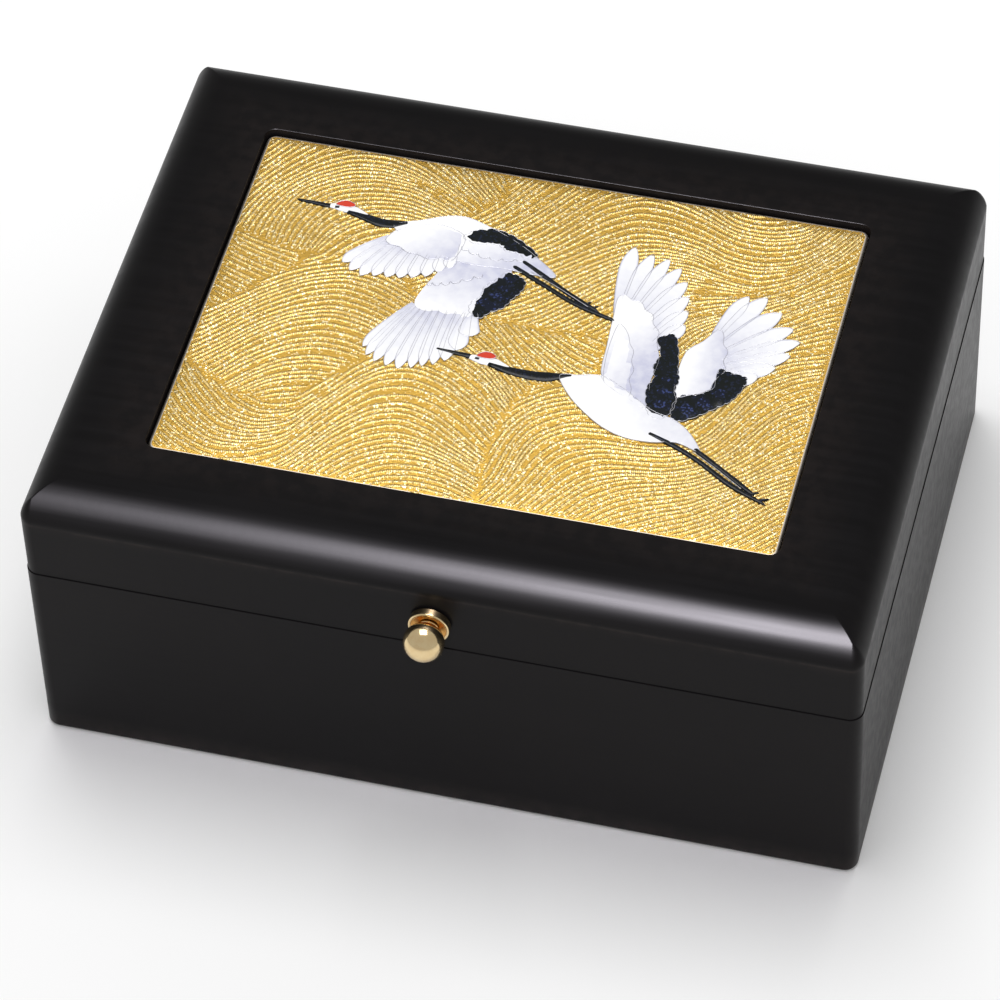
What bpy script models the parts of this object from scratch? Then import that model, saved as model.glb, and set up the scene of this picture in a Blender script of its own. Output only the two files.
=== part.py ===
"""Lacquered wooden box with a cloisonne enamel plate let into its lift-off lid.

Metres, +Z up. The origin is the centre of the underside, +X runs along the length, and the
knob is on the front, at -Y.
"""

import math

import bmesh
import bpy
from mathutils import Matrix, Vector

# The wooden box, outside
LENGTH = 0.200
DEPTH = 0.1515
BASE_HEIGHT = 0.0571
LID_SIDE_HEIGHT = 0.0173
CORNER_RADIUS = 0.0034
ARRIS_RADIUS = 0.0003
FOOT_EASE = 0.0010
SEAM_EASE = 0.0006
SEAM_GAP = 0.0003

# The lid's moulded shoulder: how far it runs in, how far it rises, and the part of a right
# angle that it turns through before it meets the side in a faint arris
SHOULDER_RUN = 0.0092
SHOULDER_RISE = 0.0088
SHOULDER_SWEEP = math.radians(82)

# The wooden box, inside
WALL = 0.0090
FLOOR = 0.0060
LID_TOP = 0.0110
INNER_CORNER_RADIUS = 0.0020

# The lip on the base that keeps the lid in place
LIP_HEIGHT = 0.0035
LIP_THICKNESS = 0.0040
LIP_EASE = 0.0006
LIP_CLEARANCE = 0.0004

# The enamel plate and the bed that is cut for it in the lid. The border is the wood left round
# the bed, out to the side of the lid.
BORDER_AT_ENDS = 0.0245
BORDER_AT_FRONT = 0.02265
PLATE_THICKNESS = 0.0022
PLATE_CORNER_RADIUS = 0.0022
PLATE_EDGE_ROUND = 0.0008
PLATE_CROWN = 0.0006
PLATE_GAP = 0.0005
PLATE_RECESS = 0.0015
BED_GAP = 0.0003
BED_EASE = 0.0005

# The brass knob and the turned seat behind it
KNOB_OFF_CENTRE = -0.0010
SEAT_DIAMETER = 0.0099
SEAT_THICKNESS = 0.0019
SEAT_RIM = 0.0007
SEAT_DISH = 0.0008
KNOB_DIAMETER = 0.0098
KNOB_DEPTH = 0.0091
NECK_DIAMETER = 0.0042
NECK_HEIGHT = 0.0005
NECK_FLARE = 0.0003
BRASS_GAP = 0.0003

# How finely round stretches are cut
CORNER_STEPS = 6
SHOULDER_STEPS = 9
EASE_STEPS = 3
BEAD_STEPS = 6
DISH_STEPS = 4
HEAD_STEPS = 14
CROWN_RINGS = 5
PLATE_SIDE_STEPS = 8
TURNED_STEPS = 28
POLE_MERGE = 1e-6
SHARP_ANGLE = math.radians(35)

# Sizes and heights that follow from those above
BED_LENGTH = LENGTH - 2 * BORDER_AT_ENDS
BED_DEPTH = DEPTH - 2 * BORDER_AT_FRONT
PLATE_LENGTH = BED_LENGTH - 2 * PLATE_GAP
PLATE_DEPTH = BED_DEPTH - 2 * PLATE_GAP
SEAM_TOP = BASE_HEIGHT + SEAM_GAP
SHOULDER_FOOT = SEAM_TOP + LID_SIDE_HEIGHT
TOTAL_HEIGHT = SHOULDER_FOOT + SHOULDER_RISE
BED_HEIGHT = TOTAL_HEIGHT - PLATE_RECESS - PLATE_THICKNESS - BED_GAP
LID_CEILING = TOTAL_HEIGHT - LID_TOP
KNOB_HEIGHT = SEAM_TOP + LID_SIDE_HEIGHT / 2


def clear_scene():
    for thing in list(bpy.data.objects):
        bpy.data.objects.remove(thing, do_unlink=True)


def material(name, colour, roughness, metallic):
    made = bpy.data.materials.new(name)
    made.use_nodes = True
    shader = made.node_tree.nodes["Principled BSDF"]
    shader.inputs["Base Color"].default_value = (*colour, 1.0)
    shader.inputs["Roughness"].default_value = roughness
    shader.inputs["Metallic"].default_value = metallic
    return made


def lacquer():
    return material("black_lacquer", (0.008, 0.007, 0.008), 0.32, 0.0)


def enamel():
    return material("gold_enamel", (0.72, 0.45, 0.12), 0.12, 0.0)


def brass():
    return material("polished_brass", (0.78, 0.56, 0.24), 0.18, 1.0)


def rounded_rectangle(inset, height, radius, length=LENGTH, depth=DEPTH, side_steps=1):
    """Corners of an upright box's outline, drawn in by `inset` all round, at one height."""
    half_x, half_y = length / 2 - inset, depth / 2 - inset
    centres = [(1, 1), (-1, 1), (-1, -1), (1, -1)]
    outline = []
    for quarter, (side_x, side_y) in enumerate(centres):
        centre = Vector((side_x * (half_x - radius), side_y * (half_y - radius), height))
        for step in range(CORNER_STEPS + 1):
            angle = math.pi / 2 * (quarter + step / CORNER_STEPS)
            outline.append(centre + radius * Vector((math.cos(angle), math.sin(angle), 0)))
        after_x, after_y = centres[(quarter + 1) % 4]
        start = outline[-1]
        angle = math.pi / 2 * (quarter + 1)
        end = Vector((after_x * (half_x - radius), after_y * (half_y - radius), height))
        end += radius * Vector((math.cos(angle), math.sin(angle), 0))
        outline += [start.lerp(end, step / side_steps) for step in range(1, side_steps)]
    return outline


def lofted(name, outlines, finish):
    """One closed body whose skin runs from the first outline, through the rest, to the last."""
    mesh = bmesh.new()
    rings = [[mesh.verts.new(point) for point in outline] for outline in outlines]
    for below, above in zip(rings, rings[1:]):
        for corner, next_corner in zip(range(-1, len(below) - 1), range(len(below))):
            side = (below[corner], below[next_corner], above[next_corner], above[corner])
            mesh.faces.new(side)
    mesh.faces.new(rings[0])
    mesh.faces.new(rings[-1])
    return finished(name, mesh, finish)


def turned(name, profile, finish):
    """One closed body turned about local Z, from (radius, height) points along its side."""
    mesh = bmesh.new()
    points = [mesh.verts.new((radius, 0, height)) for radius, height in profile]
    line = [mesh.edges.new(pair) for pair in zip(points, points[1:])]
    bmesh.ops.spin(
        mesh,
        geom=points + line,
        cent=(0, 0, 0),
        axis=(0, 0, 1),
        angle=2 * math.pi,
        steps=TURNED_STEPS,
        use_merge=True,
    )
    bmesh.ops.remove_doubles(mesh, verts=mesh.verts, dist=POLE_MERGE)
    return finished(name, mesh, finish)


def finished(name, mesh, finish):
    bmesh.ops.recalc_face_normals(mesh, faces=mesh.faces)
    data = bpy.data.meshes.new(name)
    mesh.to_mesh(data)
    mesh.free()
    data.materials.append(finish)
    data.shade_smooth()
    data.set_sharp_from_angle(angle=SHARP_ANGLE)
    made = bpy.data.objects.new(name, data)
    bpy.context.scene.collection.objects.link(made)
    return made


def rounding(start, end, steps, begins_level, sweep=math.pi / 2):
    """(inset, height) points of a round stretch from one point to another.

    It leaves `start` level where begins_level is set, and upright where it isn't, and turns
    through the angle `sweep`.
    """
    points = []
    for step in range(steps + 1):
        angle = sweep * step / steps
        fast = math.sin(angle) / math.sin(sweep)
        slow = (1 - math.cos(angle)) / (1 - math.cos(sweep))
        level, upright = (fast, slow) if begins_level else (slow, fast)
        inset = start[0] + (end[0] - start[0]) * level
        height = start[1] + (end[1] - start[1]) * upright
        points.append((inset, height))
    return points


def drawn_in(radius, inset):
    """The corner radius left on an outline that is drawn in, down to a mitred arris."""
    return max(radius - inset, ARRIS_RADIUS)


def outer_outlines(profile):
    return [
        rounded_rectangle(inset, height, drawn_in(CORNER_RADIUS, inset))
        for inset, height in profile
    ]


def inner_outlines(profile):
    return [rounded_rectangle(inset, height, INNER_CORNER_RADIUS) for inset, height in profile]


def bed_outlines(profile):
    """Outlines round the plate's bed, from (distance out from the bed's edge, height) points."""
    radius = PLATE_CORNER_RADIUS + PLATE_GAP
    return [
        rounded_rectangle(-out, height, radius + out, BED_LENGTH, BED_DEPTH)
        for out, height in profile
    ]


def make_base():
    """The box: outside from the foot up to the seam, then the lip, and down into the hollow."""
    foot = rounding((FOOT_EASE, 0), (0, FOOT_EASE), EASE_STEPS, True)
    below_seam, seam_edge = (0, BASE_HEIGHT - SEAM_EASE), (SEAM_EASE, BASE_HEIGHT)
    seam = rounding(below_seam, seam_edge, EASE_STEPS, False)
    lip_outside = WALL - LIP_THICKNESS
    lip_top = BASE_HEIGHT + LIP_HEIGHT
    outlines = outer_outlines(foot + seam)
    outlines += inner_outlines(
        [
            (lip_outside, BASE_HEIGHT),
            (lip_outside, lip_top - LIP_EASE),
            (lip_outside + LIP_EASE, lip_top),
            (WALL - LIP_EASE, lip_top),
            (WALL, lip_top - LIP_EASE),
            (WALL, FLOOR),
        ]
    )
    return lofted("base", outlines, lacquer())


def make_lid():
    """The lid: from the plate's bed out over the shoulder, down the side and up into its hollow."""
    top = TOTAL_HEIGHT
    bed = [(0, BED_HEIGHT), (0, top - BED_EASE), (BED_EASE, top)]
    crest, foot = (SHOULDER_RUN, top), (0, SHOULDER_FOOT)
    shoulder = rounding(crest, foot, SHOULDER_STEPS, True, SHOULDER_SWEEP)
    seam = rounding((0, SEAM_TOP + SEAM_EASE), (SEAM_EASE, SEAM_TOP), EASE_STEPS, False)
    lip_room = WALL - LIP_THICKNESS - LIP_CLEARANCE
    step_height = BASE_HEIGHT + LIP_HEIGHT + LIP_CLEARANCE
    outlines = bed_outlines(bed) + outer_outlines(shoulder + seam)
    outlines += inner_outlines(
        [
            (lip_room, SEAM_TOP),
            (lip_room, step_height),
            (WALL, step_height),
            (WALL, LID_CEILING),
        ]
    )
    return lofted("lid", outlines, lacquer())


def crown(point):
    """How far the plate's face stands above its rim at this point."""
    across, along = 2 * point.x / PLATE_LENGTH, 2 * point.y / PLATE_DEPTH
    return PLATE_CROWN * max(0, 1 - across**2) * max(0, 1 - along**2)


def plate_outline(inset, height):
    radius = drawn_in(PLATE_CORNER_RADIUS, inset)
    return rounded_rectangle(inset, height, radius, PLATE_LENGTH, PLATE_DEPTH, PLATE_SIDE_STEPS)


def make_plate():
    """The enamelled plate: flat below, round at its rim and slightly crowned on its face."""
    bottom = BED_HEIGHT + BED_GAP
    rim = bottom + PLATE_THICKNESS
    edge = rounding((0, rim - PLATE_EDGE_ROUND), (PLATE_EDGE_ROUND, rim), EASE_STEPS, False)
    outlines = [plate_outline(inset, height) for inset, height in [(0, bottom)] + edge]
    face_edge = outlines[-1]
    for ring in range(1, CROWN_RINGS + 1):
        share = 1 - ring / (CROWN_RINGS + 1)
        outline = [Vector((point.x * share, point.y * share, rim)) for point in face_edge]
        outlines.append([point + Vector((0, 0, crown(point))) for point in outline])
    return lofted("enamel_plate", outlines, enamel())


def face_front(made, back):
    """Turns a piece made along +Z to face the front, its back at this distance from the wood."""
    place = Vector((KNOB_OFF_CENTRE, -DEPTH / 2 - back, KNOB_HEIGHT))
    made.matrix_world = Matrix.Translation(place) @ Matrix.Rotation(math.pi / 2, 4, "X")


def half_turn(centre_radius, centre_height, bead):
    """Points of a half-round bead that stands up, from its outer side over to its inner side."""
    angles = [math.pi * step / BEAD_STEPS for step in range(BEAD_STEPS + 1)]
    return [
        (centre_radius + bead * math.cos(angle), centre_height + bead * math.sin(angle))
        for angle in angles
    ]


def make_knob_seat():
    """The seat: a short turned disc with a raised rim round a dished face."""
    radius, bead = SEAT_DIAMETER / 2, SEAT_RIM / 2
    dish_radius = radius - SEAT_RIM
    dish_edge = SEAT_THICKNESS - bead
    profile = [(0, 0), (radius, 0)]
    profile += half_turn(radius - bead, dish_edge, bead)
    for step in range(1, DISH_STEPS + 1):
        angle = math.pi / 2 * step / DISH_STEPS
        depth = (SEAT_DISH - bead) * math.sin(angle)
        profile.append((dish_radius * math.cos(angle), dish_edge - depth))
    profile[-1] = (0, SEAT_THICKNESS - SEAT_DISH)
    seat = turned("knob_seat", profile, brass())
    face_front(seat, BRASS_GAP)


def make_knob():
    """The knob: a short neck flared at its foot, and a round head, slightly flattened."""
    foot = SEAT_THICKNESS - SEAT_DISH + 2 * BRASS_GAP
    radius, half_depth, neck = KNOB_DIAMETER / 2, KNOB_DEPTH / 2, NECK_DIAMETER / 2
    start = math.asin(neck / radius)
    centre = foot + NECK_HEIGHT + half_depth * math.cos(start)
    profile = [(0, foot), (neck + NECK_FLARE, foot), (neck, foot + NECK_FLARE)]
    for step in range(HEAD_STEPS + 1):
        angle = start + (math.pi - start) * step / HEAD_STEPS
        profile.append((radius * math.sin(angle), centre - half_depth * math.cos(angle)))
    profile[-1] = (0, centre + half_depth)
    knob = turned("knob", profile, brass())
    face_front(knob, 0)


def main():
    clear_scene()
    make_base()
    make_lid()
    make_plate()
    make_knob_seat()
    make_knob()


main()
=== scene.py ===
"""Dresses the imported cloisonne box: a lacquered wooden box with an enamelled plate of two cranes.

The frame is the CAD's: metres, +Z up, the origin under the middle of the box, +X along its length
and the knob on the front at -Y. The plate's own drawing is laid out in millimetres from its centre.
"""

import logging
import math
from collections.abc import Callable, Mapping, Sequence
from dataclasses import dataclass, field, replace
from enum import Enum

import bmesh
import bpy
from mathutils import Matrix, Vector, noise

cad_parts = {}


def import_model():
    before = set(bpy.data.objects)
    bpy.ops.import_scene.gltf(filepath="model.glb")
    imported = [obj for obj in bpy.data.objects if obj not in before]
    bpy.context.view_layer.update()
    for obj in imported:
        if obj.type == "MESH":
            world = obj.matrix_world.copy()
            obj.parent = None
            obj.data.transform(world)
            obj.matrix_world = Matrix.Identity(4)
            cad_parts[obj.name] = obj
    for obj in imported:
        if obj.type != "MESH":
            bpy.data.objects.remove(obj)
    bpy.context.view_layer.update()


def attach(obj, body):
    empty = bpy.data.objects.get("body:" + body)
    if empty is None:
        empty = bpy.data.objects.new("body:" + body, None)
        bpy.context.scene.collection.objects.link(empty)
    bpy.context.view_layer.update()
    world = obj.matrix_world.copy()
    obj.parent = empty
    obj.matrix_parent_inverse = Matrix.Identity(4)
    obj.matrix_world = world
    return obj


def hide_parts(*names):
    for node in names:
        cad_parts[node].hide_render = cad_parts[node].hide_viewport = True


log = logging.getLogger("cloisonne_box")

MM = 0.001
BODY = "root"
SHARP_ANGLE = math.radians(35)
STRIP_UV = "strip"
SHADE_MASK = "shade"
EDGE_MASK = "edge_mask"
SUNK = -0.02  # How far below the plate's face a relief's edges lie, in millimetres.
BLUNT = 0.15  # How wide a stroke still is at its ends, as a share of its width there.
ROUND = 0.6  # The power that makes small feather ends fuller than a circle's.

Point = tuple[float, float]
Place = tuple[float, float, float]
Colour = tuple[float, float, float]
Socket = bpy.types.NodeSocket


class Slot(Enum):
    """The record's material slots."""

    LACQUER = "lacquer"
    ENAMEL = "enamel"
    BRASS = "brass"


class Nodes:
    """Adds and joins the nodes of one tree."""

    def __init__(self, tree: bpy.types.NodeTree) -> None:
        """Takes the tree to add to: a material's own or a node group."""
        self.tree = tree

    def fill(self, node: bpy.types.Node, inputs: Mapping[str | int, object]) -> bpy.types.Node:
        """Feeds a node's inputs.

        Args:
            node: The node to feed.
            inputs: An output, a number or a colour for each input, by its name or place.

        Returns:
            The same node.
        """
        for key, value in inputs.items():
            socket = node.inputs[key]
            if isinstance(value, Socket):
                self.tree.links.new(value, socket)
            else:
                socket.default_value = (*value, 1.0) if socket.type == "RGBA" else value
        return node

    def add(self, kind: str, inputs: Mapping[str | int, object], **settings: object) -> bpy.types.Node:
        """Adds a node.

        Args:
            kind: The node's Blender type, such as ShaderNodeMath.
            inputs: What its inputs are fed with.
            **settings: Its properties.

        Returns:
            The new node.
        """
        node = self.tree.nodes.new(kind)
        for name, value in settings.items():
            setattr(node, name, value)
        return self.fill(node, inputs)

    def maths(self, operation: str, first: object, second: object = 0.0) -> Socket:
        """The result of one sum on numbers or outputs."""
        return self.add("ShaderNodeMath", {0: first, 1: second}, operation=operation).outputs[0]

    def spread(self, value: Socket, low: float, high: float, to_low: float, to_high: float) -> Socket:
        """Maps the range from `low` to `high` onto another, smoothly and within its ends."""
        numbers = dict(enumerate((value, low, high, to_low, to_high)))
        return self.add("ShaderNodeMapRange", numbers, interpolation_type="SMOOTHSTEP").outputs["Result"]

    def blend(self, share: object, first: object, second: object) -> Socket:
        """Mixes two colours: `share` is how much of the second one shows."""
        inputs = {"Factor": share, 6: first, 7: second}
        return self.add("ShaderNodeMix", inputs, data_type="RGBA").outputs[2]

    def place(self, vector: Socket, scale: Place) -> Socket:
        """Scales a set of coordinates along its axes."""
        return self.add("ShaderNodeMapping", {"Vector": vector, "Scale": scale}).outputs["Vector"]

    def split(self, vector: Socket) -> bpy.types.NodeOutputs:
        """A vector's parts, X, Y and Z."""
        return self.add("ShaderNodeSeparateXYZ", {0: vector}).outputs

    def cloud(self, vector: Socket, scale: object, detail: float = 2.0) -> Socket:
        """A noise pattern of the given fineness on the given coordinates."""
        inputs = {"Vector": vector, "Scale": scale, "Detail": detail}
        return self.add("ShaderNodeTexNoise", inputs).outputs["Fac"]

    def bump(self, height: Socket, depth: float, under: Socket | None = None) -> Socket:
        """Turns a height into normals.

        Args:
            height: The height, from 0 to 1.
            depth: How deep 1 is, in metres.
            under: Normals that it lies over.

        Returns:
            The normals.
        """
        inputs = {"Height": height, "Distance": depth}
        if under is not None:
            inputs["Normal"] = under
        return self.add("ShaderNodeBump", inputs).outputs["Normal"]


@dataclass
class Effect:
    """A node group that several finishes share, built when it is first used.

    Attributes:
        name: The group's name.
        inputs: Each input's default: a number, a colour, or None for coordinates.
        draw: Adds the nodes between the given outputs and the results that it returns.
        tree: The group, once it is built.
    """

    name: str
    inputs: dict[str, object]
    draw: Callable[[Nodes, bpy.types.NodeOutputs], dict[str, Socket]]
    tree: bpy.types.NodeTree | None = None

    def placed(self, nodes: Nodes, vector: Socket, **values: object) -> bpy.types.NodeOutputs:
        """Places the group in a tree.

        Args:
            nodes: The tree to place it in.
            vector: The coordinates that it follows.
            **values: Its other inputs, by their names in lower case.

        Returns:
            The group's outputs.
        """
        if self.tree is None:
            self.tree = self._build()
        inputs = {name.replace("_", " ").title(): value for name, value in values.items()}
        return nodes.add("ShaderNodeGroup", {"Vector": vector, **inputs}, node_tree=self.tree).outputs

    def _build(self) -> bpy.types.NodeTree:
        """Builds the group.

        Returns:
            Its tree.
        """
        tree = bpy.data.node_groups.new(self.name, "ShaderNodeTree")
        for title, default in self.inputs.items():
            kind = "Vector" if default is None else "Color" if isinstance(default, tuple) else "Float"
            made = tree.interface.new_socket(title, in_out="INPUT", socket_type="NodeSocket" + kind)
            if default is not None:
                made.default_value = (*default, 1.0) if kind == "Color" else default
        nodes = Nodes(tree)
        results = self.draw(nodes, nodes.add("NodeGroupInput", {}).outputs)
        for title, result in results.items():
            kind = "Color" if result.type == "RGBA" else "Float"
            tree.interface.new_socket(title, in_out="OUTPUT", socket_type="NodeSocket" + kind)
        nodes.add("NodeGroupOutput", results)
        return tree


def draw_mottle(nodes: Nodes, given: bpy.types.NodeOutputs) -> dict[str, Socket]:
    """A base colour that drifts towards a second one, and a matching drift in roughness.

    Args:
        nodes: The group's nodes.
        given: The group's inputs.

    Returns:
        The results, by their names.
    """
    share = nodes.spread(nodes.cloud(given["Vector"], given["Scale"], 4.0), 0.3, 0.7, 0.0, 1.0)
    share = nodes.maths("MULTIPLY", share, given["Amount"])
    swing = nodes.maths("MULTIPLY", share, given["Roughness Drift"])
    rough = nodes.maths("ADD", given["Roughness"], swing)
    return {"Colour": nodes.blend(share, given["Colour"], given["Second Colour"]), "Roughness": rough}


def draw_sparkle(nodes: Nodes, given: bpy.types.NodeOutputs) -> dict[str, Socket]:
    """Fine flakes under the glaze: a random value for each flake, and the height between them.

    Args:
        nodes: The group's nodes.
        given: The group's inputs.

    Returns:
        The results, by their names.
    """
    inputs = {"Vector": given["Vector"], "Scale": given["Scale"]}
    flakes = nodes.add("ShaderNodeTexVoronoi", inputs).outputs
    parts = nodes.add("ShaderNodeSeparateColor", {"Color": flakes["Color"]}).outputs
    rare = nodes.maths("SUBTRACT", 1.0, given["Rare"])
    glint = nodes.maths("GREATER_THAN", parts["Green"], rare)
    slope = nodes.maths("MULTIPLY", flakes["Distance"], parts["Blue"])
    return {"Flake": parts["Red"], "Glint": glint, "Height": slope}


def draw_edge_wear_and_sheen(nodes: Nodes, given: bpy.types.NodeOutputs) -> dict[str, Socket]:
    """Rubbed arrises and painted edge highlights: mixes towards a lighter worn colour and roughness where
    the mask is set.

    Args:
        nodes: The group's nodes.
        given: The group's inputs.

    Returns:
        The results, by their names.
    """
    patchy = nodes.spread(nodes.cloud(given["Vector"], 260.0, 3.0), 0.35, 0.65, 0.35, 1.0)
    share = nodes.maths("MULTIPLY", nodes.maths("MULTIPLY", patchy, given["Mask"]), given["Amount"])
    change = nodes.maths("SUBTRACT", given["Worn Roughness"], given["Roughness"])
    rough = nodes.maths("ADD", given["Roughness"], nodes.maths("MULTIPLY", change, share))
    return {"Colour": nodes.blend(share, given["Colour"], given["Worn Colour"]), "Roughness": rough}


GREY = (0.5, 0.5, 0.5)
MOTTLE_INPUTS = {"Vector": None, "Scale": 20.0, "Amount": 0.5, "Colour": GREY, "Second Colour": GREY}
MOTTLE = Effect("mottle", {**MOTTLE_INPUTS, "Roughness": 0.4, "Roughness Drift": 0.05}, draw_mottle)
SPARKLE = Effect("sparkle", {"Vector": None, "Scale": 3000.0, "Rare": 0.1}, draw_sparkle)
# Edge wear and sheen: rubbed arrises, lighter in colour; at the lid's shoulder foot this lighter colour is
# also a painted highlight.
WEAR_AND_SHEEN_INPUTS = {"Vector": None, "Mask": 0.0, "Amount": 0.5, "Colour": GREY, "Worn Colour": GREY}
EDGE_WEAR_AND_SHEEN = Effect("edge_wear", {**WEAR_AND_SHEEN_INPUTS, "Roughness": 0.4, "Worn Roughness": 0.3}, draw_edge_wear_and_sheen)


@dataclass(frozen=True)
class Finish:
    """What every finish shares: each one only says what its shader is fed with."""

    name: str

    def make(self) -> bpy.types.Material:
        """Builds the material.

        Returns:
            The material.
        """
        made = bpy.data.materials.new(self.name)
        made.use_nodes = True
        nodes = Nodes(made.node_tree)
        where = nodes.add("ShaderNodeTexCoord", {}).outputs["Object"]
        nodes.fill(made.node_tree.nodes["Principled BSDF"], self.inputs(nodes, where))
        return made

    def inputs(self, nodes: Nodes, where: Socket) -> dict[str, object]:
        """What the shader's inputs are fed with, from the piece's Object coordinates."""
        raise NotImplementedError

    def along(self, nodes: Nodes) -> bpy.types.NodeOutputs:
        """Places on a strip: X in millimetres along it, and Y from -1 to 1 across it."""
        return nodes.split(nodes.add("ShaderNodeUVMap", {}, uv_map=STRIP_UV).outputs["UV"])

    def mask(self, nodes: Nodes, name: str) -> Socket:
        """A value kept in the mesh under this name."""
        return nodes.add("ShaderNodeAttribute", {}, attribute_name=name).outputs["Fac"]


@dataclass(frozen=True)
class Lacquer(Finish):
    """Satin black lacquer, rubbed a little along its arrises, with a painted highlight on the arris at the
    foot of the lid's shoulder.
    """

    colour: Colour = (0.0036, 0.0030, 0.0034)
    clouded: Colour = (0.0050, 0.0038, 0.0038)
    # The lighter colour along the arrises: rubbed lacquer, and at the shoulder's foot also a painted
    # highlight.
    wear_and_sheen: Colour = (0.032, 0.024, 0.022)
    roughness: float = 0.37
    worn_roughness: float = 0.32
    refraction: float = 1.18
    orange_peel: float = 0.000006
    grain: Place = (14.0, 420.0, 420.0)

    def inputs(self, nodes: Nodes, where: Socket) -> dict[str, object]:
        """What this finish feeds the shader with.

        Args:
            nodes: The material's nodes.
            where: The piece's Object coordinates.

        Returns:
            What each input is fed with, by its name.
        """
        drift = MOTTLE.placed(
            nodes,
            where,
            scale=14.0,
            amount=0.8,
            colour=self.colour,
            second_colour=self.clouded,
            roughness=self.roughness,
            roughness_drift=0.03,
        )
        # Lighter where the edge mask is set: wear, and at the shoulder's foot a painted highlight.
        wear = EDGE_WEAR_AND_SHEEN.placed(
            nodes,
            where,
            mask=self.mask(nodes, EDGE_MASK),
            amount=0.6,
            colour=drift["Colour"],
            worn_colour=self.wear_and_sheen,
            roughness=drift["Roughness"],
            worn_roughness=self.worn_roughness,
        )
        grain = nodes.cloud(nodes.place(where, self.grain), 1.0, 3.0)
        return {
            "Base Color": wear["Colour"],
            "Roughness": nodes.maths("ADD", wear["Roughness"], nodes.spread(grain, 0.3, 0.7, -0.03, 0.03)),
            "IOR": self.refraction,
            "Normal": nodes.bump(nodes.cloud(where, 500.0, 3.0), self.orange_peel),
        }


@dataclass(frozen=True)
class Foil(Finish):
    """Gold foil under clear glaze, stamped with fine cross cuts along each ridge, with a painted highlight
    along each ridge's crest and painted glints on rare flakes.
    """

    valley: Colour = (0.50, 0.305, 0.058)
    # crest: a paler colour painted along the middle of each ridge as a highlight.
    crest: Colour = (0.78, 0.59, 0.25)
    # glint: the pale colour of painted glints on rare flakes.
    glint: Colour = (1.0, 0.92, 0.62)
    roughness: float = 0.34
    cut_pitch: float = 0.46
    cut_depth: float = 0.00006
    flake_depth: float = 0.00010
    cuts: bool = True

    def inputs(self, nodes: Nodes, where: Socket) -> dict[str, object]:
        """What this finish feeds the shader with.

        Args:
            nodes: The material's nodes.
            where: The piece's Object coordinates.

        Returns:
            What each input is fed with, by its name.
        """
        strip = self.along(nodes)
        flakes = SPARKLE.placed(nodes, where, scale=2600.0, rare=0.10)
        # Painted highlight: the paler crest colour along each ridge's middle, broken by the cross cuts.
        crest = nodes.spread(nodes.maths("ABSOLUTE", strip["Y"]), 0.25, 0.95, 1.0, 0.0)
        wander = nodes.maths("MULTIPLY", nodes.cloud(where, 900.0, 1.0), 3.5)
        turns = nodes.maths("MULTIPLY", strip["X"], 2 * math.pi / self.cut_pitch)
        wave = nodes.maths("SINE", nodes.maths("ADD", turns, wander))
        shown = nodes.maths("MULTIPLY", crest, nodes.spread(wave, -1.0, 0.4, 0.35, 1.0))
        colour = nodes.blend(shown if self.cuts else 0.0, self.valley, self.crest)
        # Painted glints: rare flakes are mixed towards the pale glint colour.
        painted_glint_share = nodes.maths("MULTIPLY", flakes["Glint"], 0.75)
        normal = nodes.bump(flakes["Height"], self.flake_depth)
        if self.cuts:
            normal = nodes.bump(nodes.spread(wave, -1.0, 0.2, 0.0, 1.0), self.cut_depth, normal)
        rough = self.roughness
        return {
            "Base Color": nodes.blend(painted_glint_share, colour, self.glint),
            "Roughness": nodes.spread(flakes["Flake"], 0.0, 1.0, rough - 0.10, rough + 0.10),
            "Metallic": 1.0,
            "Normal": normal,
        }


@dataclass(frozen=True)
class Enamel(Finish):
    """Polished glass enamel in one cell colour, shaded towards the root of each feather."""

    colour: Colour = (0.98, 0.98, 0.985)
    shade: Colour = (0.48, 0.49, 0.66)
    shading: float = 0.8
    roughness: float = 0.16
    flake: Colour = (0.9, 0.9, 1.0)
    flake_share: float = 0.0
    edge_shade: float = 0.5
    clouding: float = 0.10
    refraction: float = 1.5

    def inputs(self, nodes: Nodes, where: Socket) -> dict[str, object]:
        """What this finish feeds the shader with.

        Args:
            nodes: The material's nodes.
            where: The piece's Object coordinates.

        Returns:
            What each input is fed with, by its name.
        """
        across = nodes.maths("ABSOLUTE", self.along(nodes)["Y"])
        side = nodes.spread(across, 0.72, 1.0, 0.0, self.edge_shade)
        root = nodes.maths("MULTIPLY", self.mask(nodes, SHADE_MASK), self.shading)
        uneven = nodes.spread(nodes.cloud(where, 420.0, 3.0), 0.3, 0.7, 0.75, 1.1)
        deep = nodes.maths("MULTIPLY", root, uneven)
        shaded = nodes.maths("MINIMUM", nodes.maths("ADD", deep, side), 1.0)
        drift = MOTTLE.placed(
            nodes,
            where,
            scale=500.0,
            amount=self.clouding,
            colour=nodes.blend(shaded, self.colour, self.shade),
            second_colour=self.shade,
            roughness=self.roughness,
            roughness_drift=0.08,
        )
        colour = drift["Colour"]
        if self.flake_share:
            flakes = SPARKLE.placed(nodes, where, scale=2300.0, rare=self.flake_share)
            share = nodes.maths("MULTIPLY", flakes["Glint"], nodes.maths("ADD", deep, 0.12))
            colour = nodes.blend(share, colour, self.flake)
        return {
            "Base Color": colour,
            "Roughness": drift["Roughness"],
            "IOR": self.refraction,
            "Normal": nodes.bump(nodes.cloud(where, 900.0, 2.0), 0.00002),
        }


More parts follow.
